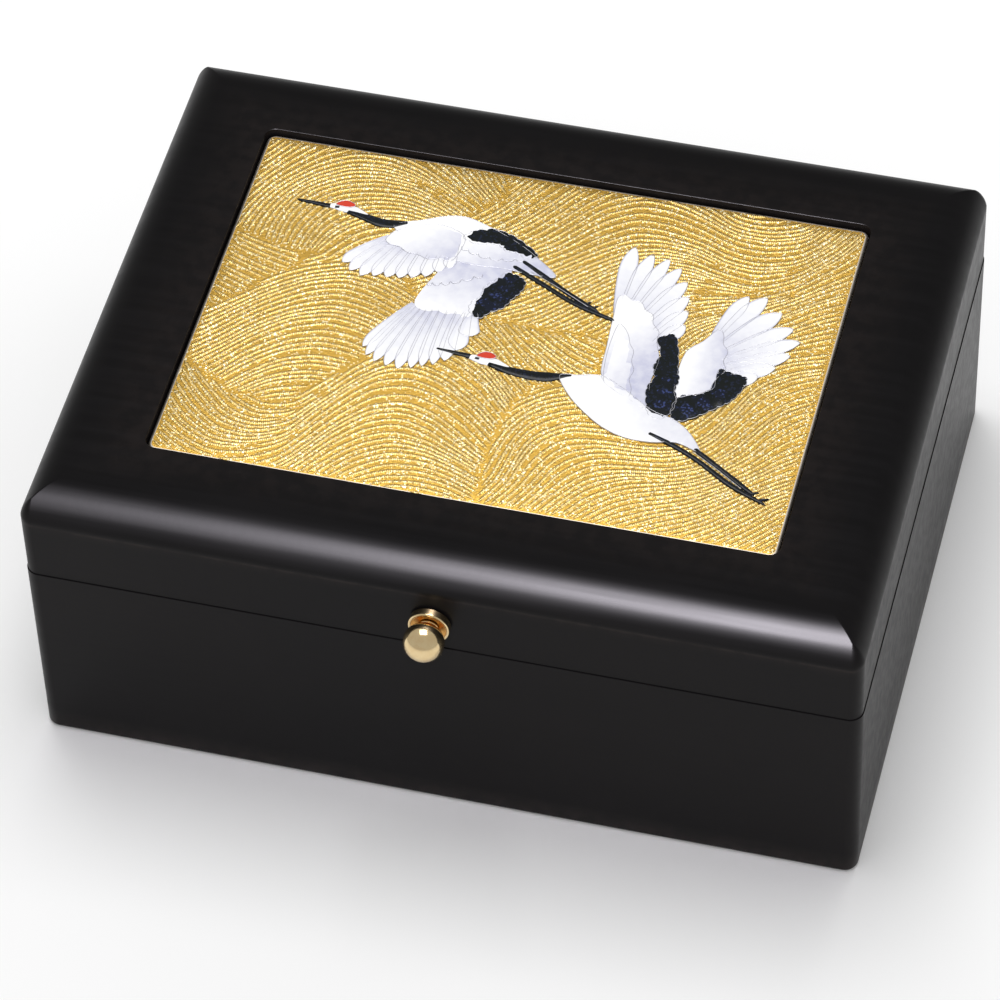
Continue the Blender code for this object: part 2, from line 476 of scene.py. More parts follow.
@dataclass(frozen=True)
class Metal(Finish):
    """A bright metal with faint turning or drawing marks and a little tarnish."""

    colour: Colour = (0.85, 0.85, 0.88)
    tarnish: Colour = (0.45, 0.44, 0.45)
    roughness: float = 0.25
    tarnish_share: float = 0.4
    mark_depth: float = 0.000006

    def inputs(self, nodes: Nodes, where: Socket) -> dict[str, object]:
        """What this finish feeds the shader with.

        Args:
            nodes: The material's nodes.
            where: The piece's Object coordinates.

        Returns:
            What each input is fed with, by its name.
        """
        drift = MOTTLE.placed(
            nodes,
            where,
            scale=650.0,
            amount=self.tarnish_share,
            colour=self.colour,
            second_colour=self.tarnish,
            roughness=self.roughness,
            roughness_drift=0.15,
        )
        wear = EDGE_WEAR_AND_SHEEN.placed(
            nodes,
            where,
            mask=self.mask(nodes, EDGE_MASK),
            amount=0.5,
            colour=drift["Colour"],
            worn_colour=self.colour,
            roughness=drift["Roughness"],
            worn_roughness=self.roughness,
        )
        marks = nodes.cloud(nodes.place(where, (1.0, 6.0, 1.0)), 900.0, 2.0)
        return {
            "Base Color": wear["Colour"],
            "Roughness": wear["Roughness"],
            "Metallic": 1.0,
            "Normal": nodes.bump(marks, self.mark_depth),
        }


@dataclass(frozen=True)
class Paper(Finish):
    """The studio's pale floor."""

    colour: Colour = (0.97, 0.97, 0.97)

    def inputs(self, nodes: Nodes, where: Socket) -> dict[str, object]:
        """What this finish feeds the shader with.

        Args:
            nodes: The material's nodes.
            where: The piece's Object coordinates.

        Returns:
            What each input is fed with, by its name.
        """
        second = tuple(0.985 * part for part in self.colour)
        values = {"scale": 3.0, "amount": 0.2, "colour": self.colour, "second_colour": second}
        drift = MOTTLE.placed(nodes, where, roughness=0.9, **values)
        return {"Base Color": drift["Colour"], "Roughness": drift["Roughness"], "Specular IOR Level": 0.0}


class Palette:
    """The finishes of the box, each made once."""

    def __init__(self) -> None:
        """Makes every material."""
        bare = {"colour": (0.005, 0.004, 0.004), "refraction": 1.08, "roughness": 0.7}
        navy = {"shade": (0.006, 0.009, 0.026), "flake": (0.045, 0.065, 0.19), "flake_share": 0.19}
        coral = {"colour": (0.66, 0.045, 0.015), "shade": (0.45, 0.03, 0.012), "shading": 0.4}
        copper = {"colour": (0.10, 0.05, 0.03), "tarnish": (0.03, 0.02, 0.015), "roughness": 0.5}
        brass = {"colour": (0.80, 0.63, 0.36), "tarnish": (0.62, 0.38, 0.15), "roughness": 0.12}
        toned = {"colour": (0.74, 0.40, 0.12), "tarnish": (0.46, 0.21, 0.05), "roughness": 0.2}
        deep = {"colour": (0.004, 0.006, 0.005), "edge_shade": 0.0, "clouding": 0.25, "refraction": 1.28}
        self.lacquer = Lacquer("black_lacquer").make()
        self.hollow = Lacquer("bare_inside", **bare).make()
        self.ridges = Foil("gold_foil_ridges").make()
        self.ground = Foil("gold_foil_ground", cuts=False, roughness=0.38).make()
        self.white = Enamel("white_enamel").make()
        self.black = Enamel("black_enamel", **deep, **navy).make()
        self.red = Enamel("red_enamel", **coral).make()
        self.silver = Metal("silver_wire", colour=(0.66, 0.66, 0.72), roughness=0.32).make()
        self.rim = Metal("silvered_rim", colour=(0.50, 0.44, 0.36), roughness=0.42).make()
        self.copper = Metal("dark_copper", **copper).make()
        self.brass = Metal("polished_brass", **brass, tarnish_share=0.25, mark_depth=0.000002).make()
        self.dish = Metal("toned_brass", **toned).make()


@dataclass
class Shaper:
    """A mesh in the making, with the values that its finish reads."""

    mesh: bmesh.types.BMesh = field(default_factory=bmesh.new)

    def __post_init__(self) -> None:
        """Adds the layers for strip coordinates, shading, and the edge mask for wear and painted
        highlights.
        """
        self.strip_uv = self.mesh.loops.layers.uv.new(STRIP_UV)
        self.shade = self.mesh.verts.layers.float.new(SHADE_MASK)
        self.wear_and_sheen = self.mesh.verts.layers.float.new(EDGE_MASK)

    def finished(
        self,
        name: str,
        finishes: Sequence[bpy.types.Material],
        slot: Slot,
        replaced: str | None = None,
        recalculated: bool = True,
    ) -> bpy.types.Object:
        """Closes the piece off and puts it on the box.

        Args:
            name: The piece's name.
            finishes: Its materials, in the order of its faces' indices.
            slot: The record's material slot that it belongs to; not used.
            replaced: The CAD node that it stands for, where there is one.
            recalculated: Whether its faces are turned outwards first.

        Returns:
            The piece.
        """
        if recalculated:
            bmesh.ops.recalc_face_normals(self.mesh, faces=self.mesh.faces)
        data = bpy.data.meshes.new(name)
        self.mesh.to_mesh(data)
        self.mesh.free()
        for finish in finishes:
            data.materials.append(finish)
        data.shade_smooth()
        data.set_sharp_from_angle(angle=SHARP_ANGLE)
        made = bpy.data.objects.new(name, data)
        bpy.context.scene.collection.objects.link(made)
        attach(made, BODY)
        if replaced:
            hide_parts(replaced)
        log.info("%s: %d faces", name, len(data.polygons))
        return made


@dataclass(frozen=True)
class Outline:
    """An upright box's outline with rounded corners, in metres."""

    length: float
    depth: float
    radius: float
    corner_steps: int = 12
    side_steps: int = 1

    def drawn_in(self, inset: float, least: float = 0.0003) -> "Outline":
        """The outline drawn in all round, its corners down to a mitred arris."""
        length, depth = self.length - 2 * inset, self.depth - 2 * inset
        return replace(self, length=length, depth=depth, radius=max(self.radius - inset, least))

    def points(self, height: float) -> list[Vector]:
        """The outline's corners, anticlockwise, at one height.

        Args:
            height: The height.

        Returns:
            The corners, those of each round corner with them.
        """
        half_x, half_y = self.length / 2 - self.radius, self.depth / 2 - self.radius
        centres = [(half_x, half_y), (-half_x, half_y), (-half_x, -half_y), (half_x, -half_y)]
        points: list[Vector] = []
        for quarter, (x, y) in enumerate(centres):
            for step in range(self.corner_steps + 1):
                angle = math.pi / 2 * (quarter + step / self.corner_steps)
                offset = Vector((math.cos(angle), math.sin(angle), 0)) * self.radius
                points.append(Vector((x, y, height)) + offset)
            next_x, next_y = centres[(quarter + 1) % 4]
            offset = Vector((next_x - x, next_y - y, 0))
            start = points[-1]
            points += [start + offset * step / self.side_steps for step in range(1, self.side_steps)]
        return points


@dataclass(frozen=True)
class Ring:
    """One closed line round a body's skin, with its wear and painted edge highlight, and the finish between
    it and the next.
    """

    points: list[Vector]
    wear_and_sheen: float = 0.0
    finish: int = 0


def stack(outline: Outline, profile: Sequence[Point], wear_and_sheen: float = 0.0, finish: int = 0) -> list[Ring]:
    """An outline's ring at each inset and height of a profile."""
    return [Ring(outline.drawn_in(inset).points(height), wear_and_sheen, finish) for inset, height in profile]


def loft(shaper: Shaper, rings: Sequence[Ring]) -> None:
    """Draws a skin through a body's rings by extruding each one to the next, and caps both ends.

    Args:
        shaper: The mesh to add to.
        rings: The rings, from one end of the skin to the other.
    """
    mesh = shaper.mesh
    first = rings[0]
    verts = [mesh.verts.new(point) for point in first.points]
    for vert in verts:
        vert[shaper.wear_and_sheen] = first.wear_and_sheen
    edges = [mesh.edges.new(pair) for pair in zip(verts, verts[1:] + verts[:1])]
    mesh.faces.new(verts).material_index = first.finish
    for below, ring in zip(rings, rings[1:]):
        grown = bmesh.ops.extrude_edge_only(mesh, edges=edges)["geom"]
        new = {item for item in grown if isinstance(item, bmesh.types.BMVert)}
        for face in (item for item in grown if isinstance(item, bmesh.types.BMFace)):
            face.material_index = below.finish
        risen = []
        for vert, point in zip(verts, ring.points):
            copy = next(edge.other_vert(vert) for edge in vert.link_edges if edge.other_vert(vert) in new)
            copy.co = point
            copy[shaper.wear_and_sheen] = ring.wear_and_sheen
            risen.append(copy)
        verts = risen
        edges = [mesh.edges.get(pair) for pair in zip(verts, verts[1:] + verts[:1])]
    mesh.faces.new(verts).material_index = rings[-1].finish


def rounding(
    start: Point, end: Point, steps: int, level_first: bool, sweep: float = math.pi / 2
) -> list[Point]:
    """A round stretch of a profile.

    Args:
        start: Where it starts, as inset and height.
        end: Where it ends.
        steps: How many steps it is cut into.
        level_first: Whether it leaves its start level rather than upright.
        sweep: The angle that it turns through.

    Returns:
        Its points, both ends with them.
    """
    points = []
    for step in range(steps + 1):
        angle = sweep * step / steps
        fast = math.sin(angle) / math.sin(sweep)
        slow = (1 - math.cos(angle)) / (1 - math.cos(sweep))
        level, upright = (fast, slow) if level_first else (slow, fast)
        points.append((start[0] + (end[0] - start[0]) * level, start[1] + (end[1] - start[1]) * upright))
    return points


def turned(shaper: Shaper, profile: Sequence[Point], steps: int, place: Matrix) -> None:
    """Turns a body about its own axis with a full spin, its poles closed.

    Args:
        shaper: The mesh to add to.
        profile: Radius and height of each point along its side, from pole to pole.
        steps: How many steps the turn is cut into.
        place: Where the body stands.
    """
    mesh = shaper.mesh
    points = [mesh.verts.new((radius, 0, height)) for radius, height in profile]
    line = [mesh.edges.new(pair) for pair in zip(points, points[1:])]
    spun = {"cent": (0, 0, 0), "axis": (0, 0, 1), "angle": 2 * math.pi}
    bmesh.ops.spin(mesh, geom=points + line, steps=steps, use_merge=True, **spun)
    bmesh.ops.remove_doubles(mesh, verts=mesh.verts, dist=1e-6)
    bmesh.ops.transform(mesh, matrix=place, verts=mesh.verts)


@dataclass(frozen=True)
class BoxSizes:
    """The sizes that the box's pieces share, in metres, as in the CAD."""

    length: float = 0.200
    depth: float = 0.1515
    base_height: float = 0.0571
    lid_side: float = 0.0173
    corner_radius: float = 0.0034
    foot_ease: float = 0.0010
    seam_gap: float = 0.0003
    lid_set_in: float = 0.0002
    shoulder_run: float = 0.0092
    shoulder_rise: float = 0.0088
    shoulder_sweep: float = math.radians(82)
    wall: float = 0.0090
    floor: float = 0.0060
    lid_top: float = 0.0110
    inner_radius: float = 0.0020
    lip_height: float = 0.0035
    lip_thickness: float = 0.0040
    lip_ease: float = 0.0006
    lip_clearance: float = 0.0004
    plate_length: float = 0.1500
    plate_depth: float = 0.1052
    plate_thickness: float = 0.0022
    plate_radius: float = 0.0022
    plate_edge_round: float = 0.0008
    plate_crown: float = 0.0006
    plate_gap: float = 0.0005
    plate_recess: float = 0.0015
    bed_gap: float = 0.0003
    bed_ease: float = 0.0002

    @property
    def seam_top(self) -> float:
        """The height of the lid's lower edge."""
        return self.base_height + self.seam_gap

    @property
    def shoulder_foot(self) -> float:
        """The height at which the lid's shoulder starts."""
        return self.seam_top + self.lid_side

    @property
    def top(self) -> float:
        """The height of the lid's top."""
        return self.shoulder_foot + self.shoulder_rise

    @property
    def rim(self) -> float:
        """The height of the plate's rim."""
        return self.top - self.plate_recess

    @property
    def bed(self) -> float:
        """The height of the bed that the plate lies over."""
        return self.rim - self.plate_thickness - self.bed_gap

    @property
    def outside(self) -> Outline:
        """The outline of the box's side."""
        return Outline(self.length, self.depth, self.corner_radius)

    def inside(self, inset: float) -> Outline:
        """An outline of the hollow, this far in from the side."""
        return Outline(self.length - 2 * inset, self.depth - 2 * inset, self.inner_radius)

    def crown_at(self, x: float, y: float) -> float:
        """The height of the plate's face at a point of it, in metres."""
        across, along = 2 * x / self.plate_length, 2 * y / self.plate_depth
        return self.rim + self.plate_crown * max(0, 1 - across**2) * max(0, 1 - along**2)


@dataclass(frozen=True)
class WoodenBase:
    """The lower box, with the lip that keeps the lid in place."""

    sizes: BoxSizes = BoxSizes()
    ease_steps: int = 5
    foot_wear: float = 0.8
    side_rings: tuple[float, ...] = (0.12, 0.5, 0.9)

    def build(self, palette: Palette) -> bpy.types.Object:
        """Builds the base, outside first.

        Args:
            palette: The finishes.

        Returns:
            The piece.
        """
        size, shaper = self.sizes, Shaper()
        top, tall, wall = size.base_height, size.base_height + size.lip_height, size.wall
        foot = rounding((size.foot_ease, 0), (0, size.foot_ease), self.ease_steps, True)
        rings = stack(size.outside, foot, self.foot_wear)
        rings += stack(size.outside, [(0, top * share) for share in self.side_rings])
        rings += stack(size.outside, [(0, top)], finish=1)
        lip = wall - size.lip_thickness
        inner = [(lip, top), (lip, tall - size.lip_ease), (lip + size.lip_ease, tall)]
        inner += [(wall - size.lip_ease, tall), (wall, tall - size.lip_ease), (wall, size.floor)]
        rings += [Ring(size.inside(inset).points(height), finish=1) for inset, height in inner]
        loft(shaper, rings)
        return shaper.finished("box_base", [palette.lacquer, palette.hollow], Slot.LACQUER, "base")


@dataclass(frozen=True)
class WoodenLid:
    """The lid, with its moulded shoulder and the bed for the plate."""

    sizes: BoxSizes = BoxSizes()
    flat_margin: float = 0.0012
    arris_band: float = 0.0007
    shoulder_steps: int = 28
    ease_steps: int = 5
    bed_wear: float = 0.9
    # The shoulder's foot and the band below it take the lighter edge colour: partly wear, partly a painted
    # highlight on that arris.
    arris_wear_and_sheen: float = 1.0
    band_wear_and_sheen: float = 0.25
    side_rings: tuple[float, ...] = (0.85, 0.5, 0.12)

    def build(self, palette: Palette) -> bpy.types.Object:
        """Builds the lid, from its bed outwards and round into its hollow.

        Args:
            palette: The finishes.

        Returns:
            The piece.
        """
        size, shaper = self.sizes, Shaper()
        top, seam_top = size.top, size.seam_top
        bed_length = size.plate_length + 2 * size.plate_gap
        bed_depth = size.plate_depth + 2 * size.plate_gap
        bed = Outline(bed_length, bed_depth, size.plate_radius + size.plate_gap)
        edge = rounding((0, top - size.bed_ease), (-size.bed_ease, top), self.ease_steps, False)
        rings = stack(bed, [(0, size.bed)]) + stack(bed, edge, self.bed_wear)
        rings += stack(size.outside, [(size.shoulder_run + self.flat_margin, top)])
        crest, foot = (size.shoulder_run, top), (0, size.shoulder_foot)
        shoulder = rounding(crest, foot, self.shoulder_steps, True, size.shoulder_sweep)
        side = size.outside.drawn_in(size.lid_set_in)
        shown = [(max(inset, size.lid_set_in), height) for inset, height in shoulder[:-1]]
        rings += stack(size.outside, shown) + stack(side, [foot], self.arris_wear_and_sheen)
        rings += stack(side, [(0, size.shoulder_foot - self.arris_band)], self.band_wear_and_sheen)
        rings += stack(side, [(0, seam_top + size.lid_side * share) for share in self.side_rings])
        rings += stack(side, [(0, seam_top)], finish=1)
        room = size.wall - size.lip_thickness - size.lip_clearance
        step = size.base_height + size.lip_height + size.lip_clearance
        hollow = [(room, seam_top), (room, step), (size.wall, step), (size.wall, top - size.lid_top)]
        rings += [Ring(size.inside(inset).points(height), finish=1) for inset, height in hollow]
        loft(shaper, rings)
        return shaper.finished("box_lid", [palette.lacquer, palette.hollow], Slot.LACQUER, "lid")


@dataclass(frozen=True)
class PlateBody:
    """The plate's metal body: a dark turned-down edge, a silvered rim and the foil's ground."""

    sizes: BoxSizes = BoxSizes()
    edge_steps: int = 6
    face_rings: int = 14
    side_steps: int = 24

    def build(self, palette: Palette) -> bpy.types.Object:
        """Builds the plate, from its underside out and over to its middle.

        Args:
            palette: The finishes.

        Returns:
            The piece.
        """
        size, shaper = self.sizes, Shaper()
        outline = Outline(size.plate_length, size.plate_depth, size.plate_radius, 8, self.side_steps)
        bottom = size.bed + size.bed_gap
        below, over = (0, size.rim - size.plate_edge_round), (size.plate_edge_round, size.rim)
        edge = rounding(below, over, self.edge_steps, False)
        rings = stack(outline, [(0, bottom)]) + stack(outline, edge[:-1], finish=1)
        rings += stack(outline, edge[-1:], finish=2)
        face = outline.drawn_in(size.plate_edge_round).points(size.rim)
        for ring in range(1, self.face_rings + 1):
            share = 1 - ring / (self.face_rings + 1)
            flat = [(point.x * share, point.y * share) for point in face]
            rings.append(Ring([Vector((x, y, size.crown_at(x, y))) for x, y in flat], finish=2))
        loft(shaper, rings)
        finishes = [palette.copper, palette.rim, palette.ground]
        return shaper.finished("plate_body", finishes, Slot.ENAMEL, "enamel_plate")


@dataclass(frozen=True)
class Section:
    """The cross-section of a strip: how far across it each point lies, and how high it stands."""

    points: tuple[Point, ...]

    @classmethod
    def round_topped(cls, steps: int, sides: float) -> "Section":
        """A section like a low arch on upright sides.

        Args:
            steps: How many steps the arch is cut into.
            sides: The sides' share of the height.

        Returns:
            The section.
        """
        angles = [math.pi * (1 - step / steps) for step in range(steps + 1)]
        arch = [(math.cos(angle), sides + (1 - sides) * math.sin(angle)) for angle in angles]
        return cls(((-1.0, 0.0), *arch, (1.0, 0.0)))


@dataclass
class Strip:
    """A strip that lies on the plate along a path, in plate millimetres.

    Attributes:
        path: The points of its middle line.
        half_widths: Half its width at each point.
        lift: How high its top stands over the plate's face.
        section: Its cross-section.
        foot: How high its edges stand.
        shades: The shading at each point of the path, from root to tip.
        finish: The index of its material.
        start: The strip coordinate at its first point.
    """

    path: list[Point]
    half_widths: list[float]
    lift: float
    section: Section
    foot: float = SUNK
    shades: list[float] | None = None
    finish: int = 0
    start: float = 0.0


@dataclass(frozen=True)
class PlateFace:
    """The plate's crowned face, which everything drawn on the plate lies on."""

    sizes: BoxSizes = BoxSizes()

    def at(self, x: float, y: float, lift: float = 0.0) -> Vector:
        """A point over the face: its place on the plate and its lift, in millimetres."""
        return Vector((x * MM, y * MM, self.sizes.crown_at(x * MM, y * MM) + lift * MM))

    def lay(self, shaper: Shaper, strip: Strip) -> None:
        """Lays a strip on the face, from a grid that is bent along its path.

        Args:
            shaper: The mesh to add to.
            strip: The strip to lay.
        """
        mesh, section = shaper.mesh, strip.section.points
        columns, rows = len(strip.path) - 1, len(section) - 1
        grid = bmesh.ops.create_grid(mesh, x_segments=columns, y_segments=rows, size=0.5)["verts"]
        ways = self.ways(strip.path)
        lengths = [strip.start]
        for before, after in zip(strip.path, strip.path[1:]):
            lengths.append(lengths[-1] + math.dist(before, after))
        shades = strip.shades or [0.0] * len(strip.path)
        placed: dict[bmesh.types.BMVert, Point] = {}
        for vert in grid:
            column = round((vert.co.x + 0.5) * columns)
            row = round((vert.co.y + 0.5) * rows)
            across, height = section[row]
            (x, y), (way_x, way_y), half = strip.path[column], ways[column], strip.half_widths[column]
            thick = height * min(1.0, 3.0 * half / max(strip.half_widths)) if half else 0.0
            lift = strip.foot + (strip.lift - strip.foot) * thick
            vert.co = self.at(x - way_y * half * across, y + way_x * half * across, lift)
            vert[shaper.shade] = shades[column]
            placed[vert] = (lengths[column], across)
        for face in {face for vert in grid for face in vert.link_faces}:
            face.material_index = strip.finish
            for loop in face.loops:
                loop[shaper.strip_uv].uv = placed[loop.vert]

    def ways(self, path: Sequence[Point]) -> list[Point]:
        """The direction of the path at each of its points.

        Args:
            path: The path's points.

        Returns:
            A direction for each, one unit long.
        """
        ways = []
        for place in range(len(path)):
            before, after = path[max(place - 1, 0)], path[min(place + 1, len(path) - 1)]
            step = math.dist(before, after) or 1.0
            ways.append(((after[0] - before[0]) / step, (after[1] - before[1]) / step))
        return ways


@dataclass(frozen=True)
class Train:
    """A train of waves over one part of the plate: its lines rise, crest and fall along it.

    Attributes:
        region: The corners of the part that it fills.
        stations: Places along the plate, in millimetres.
        rows: The lines' slope in degrees at each station, in rows from the back to the front.
    """

    region: tuple[Point, ...]
    stations: tuple[float, ...]
    rows: tuple[tuple[float, tuple[float, ...]], ...]

    def holds(self, x: float, y: float) -> bool:
        """Whether a point is in the train's part of the plate.

        Args:
            x: How far right the point is.
            y: How far back it is.

        Returns:
            True where it is.
        """
        inside, before = False, self.region[-1]
        for corner in self.region:
            if (corner[1] > y) != (before[1] > y):
                crossing = corner[0] + (y - corner[1]) * (before[0] - corner[0]) / (before[1] - corner[1])
                inside ^= x < crossing
            before = corner
        return inside

    def slope(self, x: float, y: float) -> float:
        """The lines' slope at a point, in radians.

        Args:
            x: How far right the point is.
            y: How far back it is.

        Returns:
            The slope, eased between rows and stations.
        """
        heights = [height for height, _ in self.rows]
        below = next((place for place, height in enumerate(heights) if height <= y), len(heights) - 1)
        above = max(below - 1, 0)
        room = heights[above] - heights[below]
        share = min(max((y - heights[below]) / room, 0.0), 1.0) if room else 0.0
        low, high = (self._along(self.rows[row][1], x) for row in (below, above))
        return math.radians(low + (high - low) * share)

    def _along(self, slopes: Sequence[float], x: float) -> float:
        """A row's slope at a place along the plate, eased between its stations.

        Args:
            slopes: The row's slope at each station.
            x: The place.

        Returns:
            The slope in degrees.
        """
        ends = list(zip(self.stations, slopes))
        for (start, first), (end, last) in zip(ends, ends[1:]):
            if x <= end:
                share = min(max((x - start) / (end - start), 0.0), 1.0)
                return first + (last - first) * share * share * (3 - 2 * share)
        return slopes[-1]


@dataclass(frozen=True)
class Waves:
    """The flow of the waves over the plate, and the ridge lines that follow it.

    Attributes:
        parts: The trains. The first one that holds a point sets the flow there.
        pitch: The distance between ridges, in millimetres.
        step: The distance between a line's points.
        half_length: Half the length of the ground.
        half_depth: Half its depth.
        drift: How far the lines stray from the flow, in radians.
        drift_reach: How far apart the strays are.
        seeds: Where the first lines start.
        seed_room: The room that a new line needs, as a share of the pitch.
        end_room: The room below which a line ends.
        turn_room: The room below which a line ends beside itself.
        straightest: The cosine of the sharpest turn in one step.
        most_steps: The longest line's steps each way.
        fewest: The fewest points of a line that is kept.
        clear_after: The step from which a line has to keep clear of itself.
        newest: How many of its newest points don't count for that.
        spare_seeds: The distance between the seeds that find any ground still bare.
    """

    parts: tuple[Train, ...]
    pitch: float = 1.36
    step: float = 0.6
    half_length: float = 74.2
    half_depth: float = 51.8
    drift: float = math.radians(5)
    drift_reach: float = 9.0
    seeds: tuple[Point, ...] = ((-46, 40), (-44, 4), (28, 50), (-18, -14), (34, -32), (64, 4))
    seed_room: float = 0.96
    end_room: float = 0.60
    turn_room: float = 0.62
    straightest: float = 0.86
    most_steps: int = 600
    fewest: int = 4
    clear_after: int = 12
    newest: int = 8
    spare_seeds: int = 3

    def way(self, x: float, y: float) -> tuple[float, float]:
        """The direction of the lines at a point.

        Args:
            x: How far right the point is.
            y: How far back it is.

        Returns:
            The direction, one unit long.
        """
        angle = next(part for part in self.parts if part.holds(x, y)).slope(x, y)
        angle += self.drift * noise.noise(Vector((x / self.drift_reach, y / self.drift_reach, 0)))
        return math.cos(angle), math.sin(angle)

    def lines(self) -> list[list[Point]]:
        """Evenly spaced lines that fill the ground, each started beside an earlier one.

        Returns:
            The points of each line.
        """
        near: dict[tuple[int, int], list[Point]] = {}
        lines: list[list[Point]] = []
        waiting = list(self.seeds)
        room = self.spare_seeds
        columns, rows = int(self.half_length // room), int(self.half_depth // room)
        spare = [(x * room, y * room) for x in range(-columns, columns + 1) for y in range(-rows, rows + 1)]
        while waiting or spare:
            seed = waiting.pop(0) if waiting else spare.pop(0)
            if not self._inside(seed) or self._crowded(near, seed, self.seed_room):
                continue
            line = self._run(near, seed, -1.0)[::-1] + [seed] + self._run(near, seed, 1.0)
            if len(line) < self.fewest:
                continue
            lines.append(line)
            for point in line:
                near.setdefault(self._cell(point), []).append(point)
            for point in line[::3]:
                way = self.way(*point)
                for side in (-1.0, 1.0):
                    shift = side * self.pitch
                    waiting.append((point[0] - way[1] * shift, point[1] + way[0] * shift))
        return lines

    def _cell(self, point: Point) -> tuple[int, int]:
        """The cell of the search grid that a point is in."""
        return math.floor(point[0] / self.pitch), math.floor(point[1] / self.pitch)

    def _inside(self, point: Point) -> bool:
        """Whether a point is on the ground."""
        return abs(point[0]) < self.half_length and abs(point[1]) < self.half_depth

    def _crowded(self, near: dict[tuple[int, int], list[Point]], point: Point, room: float) -> bool:
        """Whether an earlier line passes within `room` pitches of a point.

        Args:
            near: The earlier lines' points, by cell.
            point: The point.
            room: The least distance, as a share of the pitch.

        Returns:
            True where one does.
        """
        column, row = self._cell(point)
        square = (room * self.pitch) ** 2
        for cell in ((column + right, row + up) for right in (-1, 0, 1) for up in (-1, 0, 1)):
            for x, y in near.get(cell, ()):
                if (x - point[0]) ** 2 + (y - point[1]) ** 2 < square:
                    return True
        return False

    def _run(self, near: dict[tuple[int, int], list[Point]], seed: Point, sense: float) -> list[Point]:
        """Follows the flow one way from a seed, up to the ground's edge or an earlier line.

        Args:
            near: The earlier lines' points, by cell.
            seed: Where the line starts.
            sense: 1 to follow the flow and -1 to go against it.

        Returns:
            The points after the seed.
        """
        way = self.way(*seed)
        way = (way[0] * sense, way[1] * sense)
        point, found = seed, []
        for place in range(self.most_steps):
            middle = (point[0] + way[0] * self.step / 2, point[1] + way[1] * self.step / 2)
            if not self._inside(middle):
                break
            ahead = self.way(*middle)
            if ahead[0] * way[0] + ahead[1] * way[1] < 0:
                ahead = (-ahead[0], -ahead[1])
            if ahead[0] * way[0] + ahead[1] * way[1] < self.straightest:
                break
            point, way = (point[0] + ahead[0] * self.step, point[1] + ahead[1] * self.step), ahead
            if not self._inside(point) or self._crowded(near, point, self.end_room):
                break
            room, older = self.turn_room * self.pitch, found[: -self.newest]
            if place > self.clear_after and any(math.dist(point, other) < room for other in older):
                break
            found.append(point)
        return found


def pairs(*numbers: float) -> tuple[Point, ...]:
    """Points, from their coordinates in a row."""
    return tuple(zip(numbers[::2], numbers[1::2]))


def wave_parts() -> tuple[Train, ...]:
    """The trains of waves round the cranes.

    Returns:
        The trains, the uppermost first.
    """
    left_edge = Train(
        pairs(-76, 19.5, -58, 16.5, -56, 12, -62, 6, -68, -2, -76, -9),
        (-75, -58),
        ((15, (-22, -8)), (0, (-20, -24))),
    )
    upper_left = Train(
        pairs(-76, 54, -15, 54, -13, 44, -18, 37, -25, 33, -30, 22, -42, 15, -58, 16.5, -76, 19.5),
        (-75, -64, -56, -48, -40, -32, -24, -14),
        (
            (50, (60, 47, 30, 5, -15, -30, -42, -55)),
            (38, (62, 52, 38, 15, 0, -20, -28, -44)),
            (22, (76, 88, 78, 56, 36, 10, -10, -20)),
        ),
    )
    left = Train(
        pairs(
            -76, -9, -68, -2, -62, 6, -56, 12, -42, 15, -30, 14, -24, 4, -26, -8,
            -34, -15, -41, -24, -46, -31, -54, -32, -62, -31, -70, -26, -76, -23,
        ),
        (-75, -64, -56, -48, -40, -32, -24),
        (
            (8, (45, 42, 32, 21, -8, -23, -32)),
            (-6, (46, 46, 40, 21, -7, -23, -38)),
            (-26, (42, 54, 42, 18, 0, -22, -40)),
        ),
    )
    lower_right = Train(
        pairs(4, -54, 3, -30, 5, -20, 10, -14, 20, -12, 78, -12, 78, -54),
        (4, 8, 16, 24, 32, 40, 48, 56, 64, 72),
        (
            (-18, (45, 42, 24, 5, -5, 20, 54, 66, 62, 42)),
            (-27, (66, 62, 38, 9, -1, 8, 30, 49, 48, 40)),
            (-34, (80, 82, 60, 33, 12, 8, 21, 38, 42, 38)),
            (-41, (78, 78, 70, 53, 35, 19, 22, 39, 46, 48)),
            (-48, (60, 60, 58, 55, 47, 33, 26, 36, 45, 51)),
        ),
    )
    lower_left = Train(
        pairs(-76, 4, 22, 4, 22, -54, -76, -54),
        (-75, -64, -56, -48, -42, -36, -30, -24, -16, -8, 0, 8, 18),
        (
            (0, (-52, -42, -18, 18, 50, 50, 40, 20, -10, -36, -42, -34, -18)),
            (-20, (-52, -42, -18, 18, 50, 55, 44, 16, -17, -34, -48, -40, -30)),
            (-34, (-52, -45, -22, 16, 58, 56, 45, 25, -10, -30, -36, -34, -30)),
            (-48, (-38, -22, 9, 34, 50, 55, 50, 37, 16, -4, -20, -30, -30)),
        ),
    )
    back_and_right = Train(
        pairs(-80, 60, 80, 60, 80, -60, -80, -60),
        (-20, -8, 0, 8, 16, 24, 32, 40, 48, 56, 64, 72),
        (
            (50, (60, 58, 52, 45, 27, -6, -20, -30, 4, 25, 54, 66)),
            (43, (60, 60, 58, 51, 34, 2, -14, -26, -4, 17, 52, 56)),
            (36, (45, 48, 54, 52, 40, 13, -5, -22, -7, 20, 50, 42)),
            (29, (40, 40, 41, 42, 43, 28, 5, -14, -8, 30, 41, 33)),
            (20, (38, 38, 40, 45, 47, 40, 30, 22, 25, 35, 42, 33)),
            (8, (34, 34, 34, 45, 48, 50, 55, 60, 55, 45, 24, 19)),
            (-6, (34, 34, 34, 40, 45, 50, 55, 60, 66, 68, 52, 36)),
            (-22, (34, 34, 34, 40, 45, 50, 55, 60, 64, 66, 60, 42)),
        ),
    )
    return (left_edge, upper_left, left, lower_right, lower_left, back_and_right)


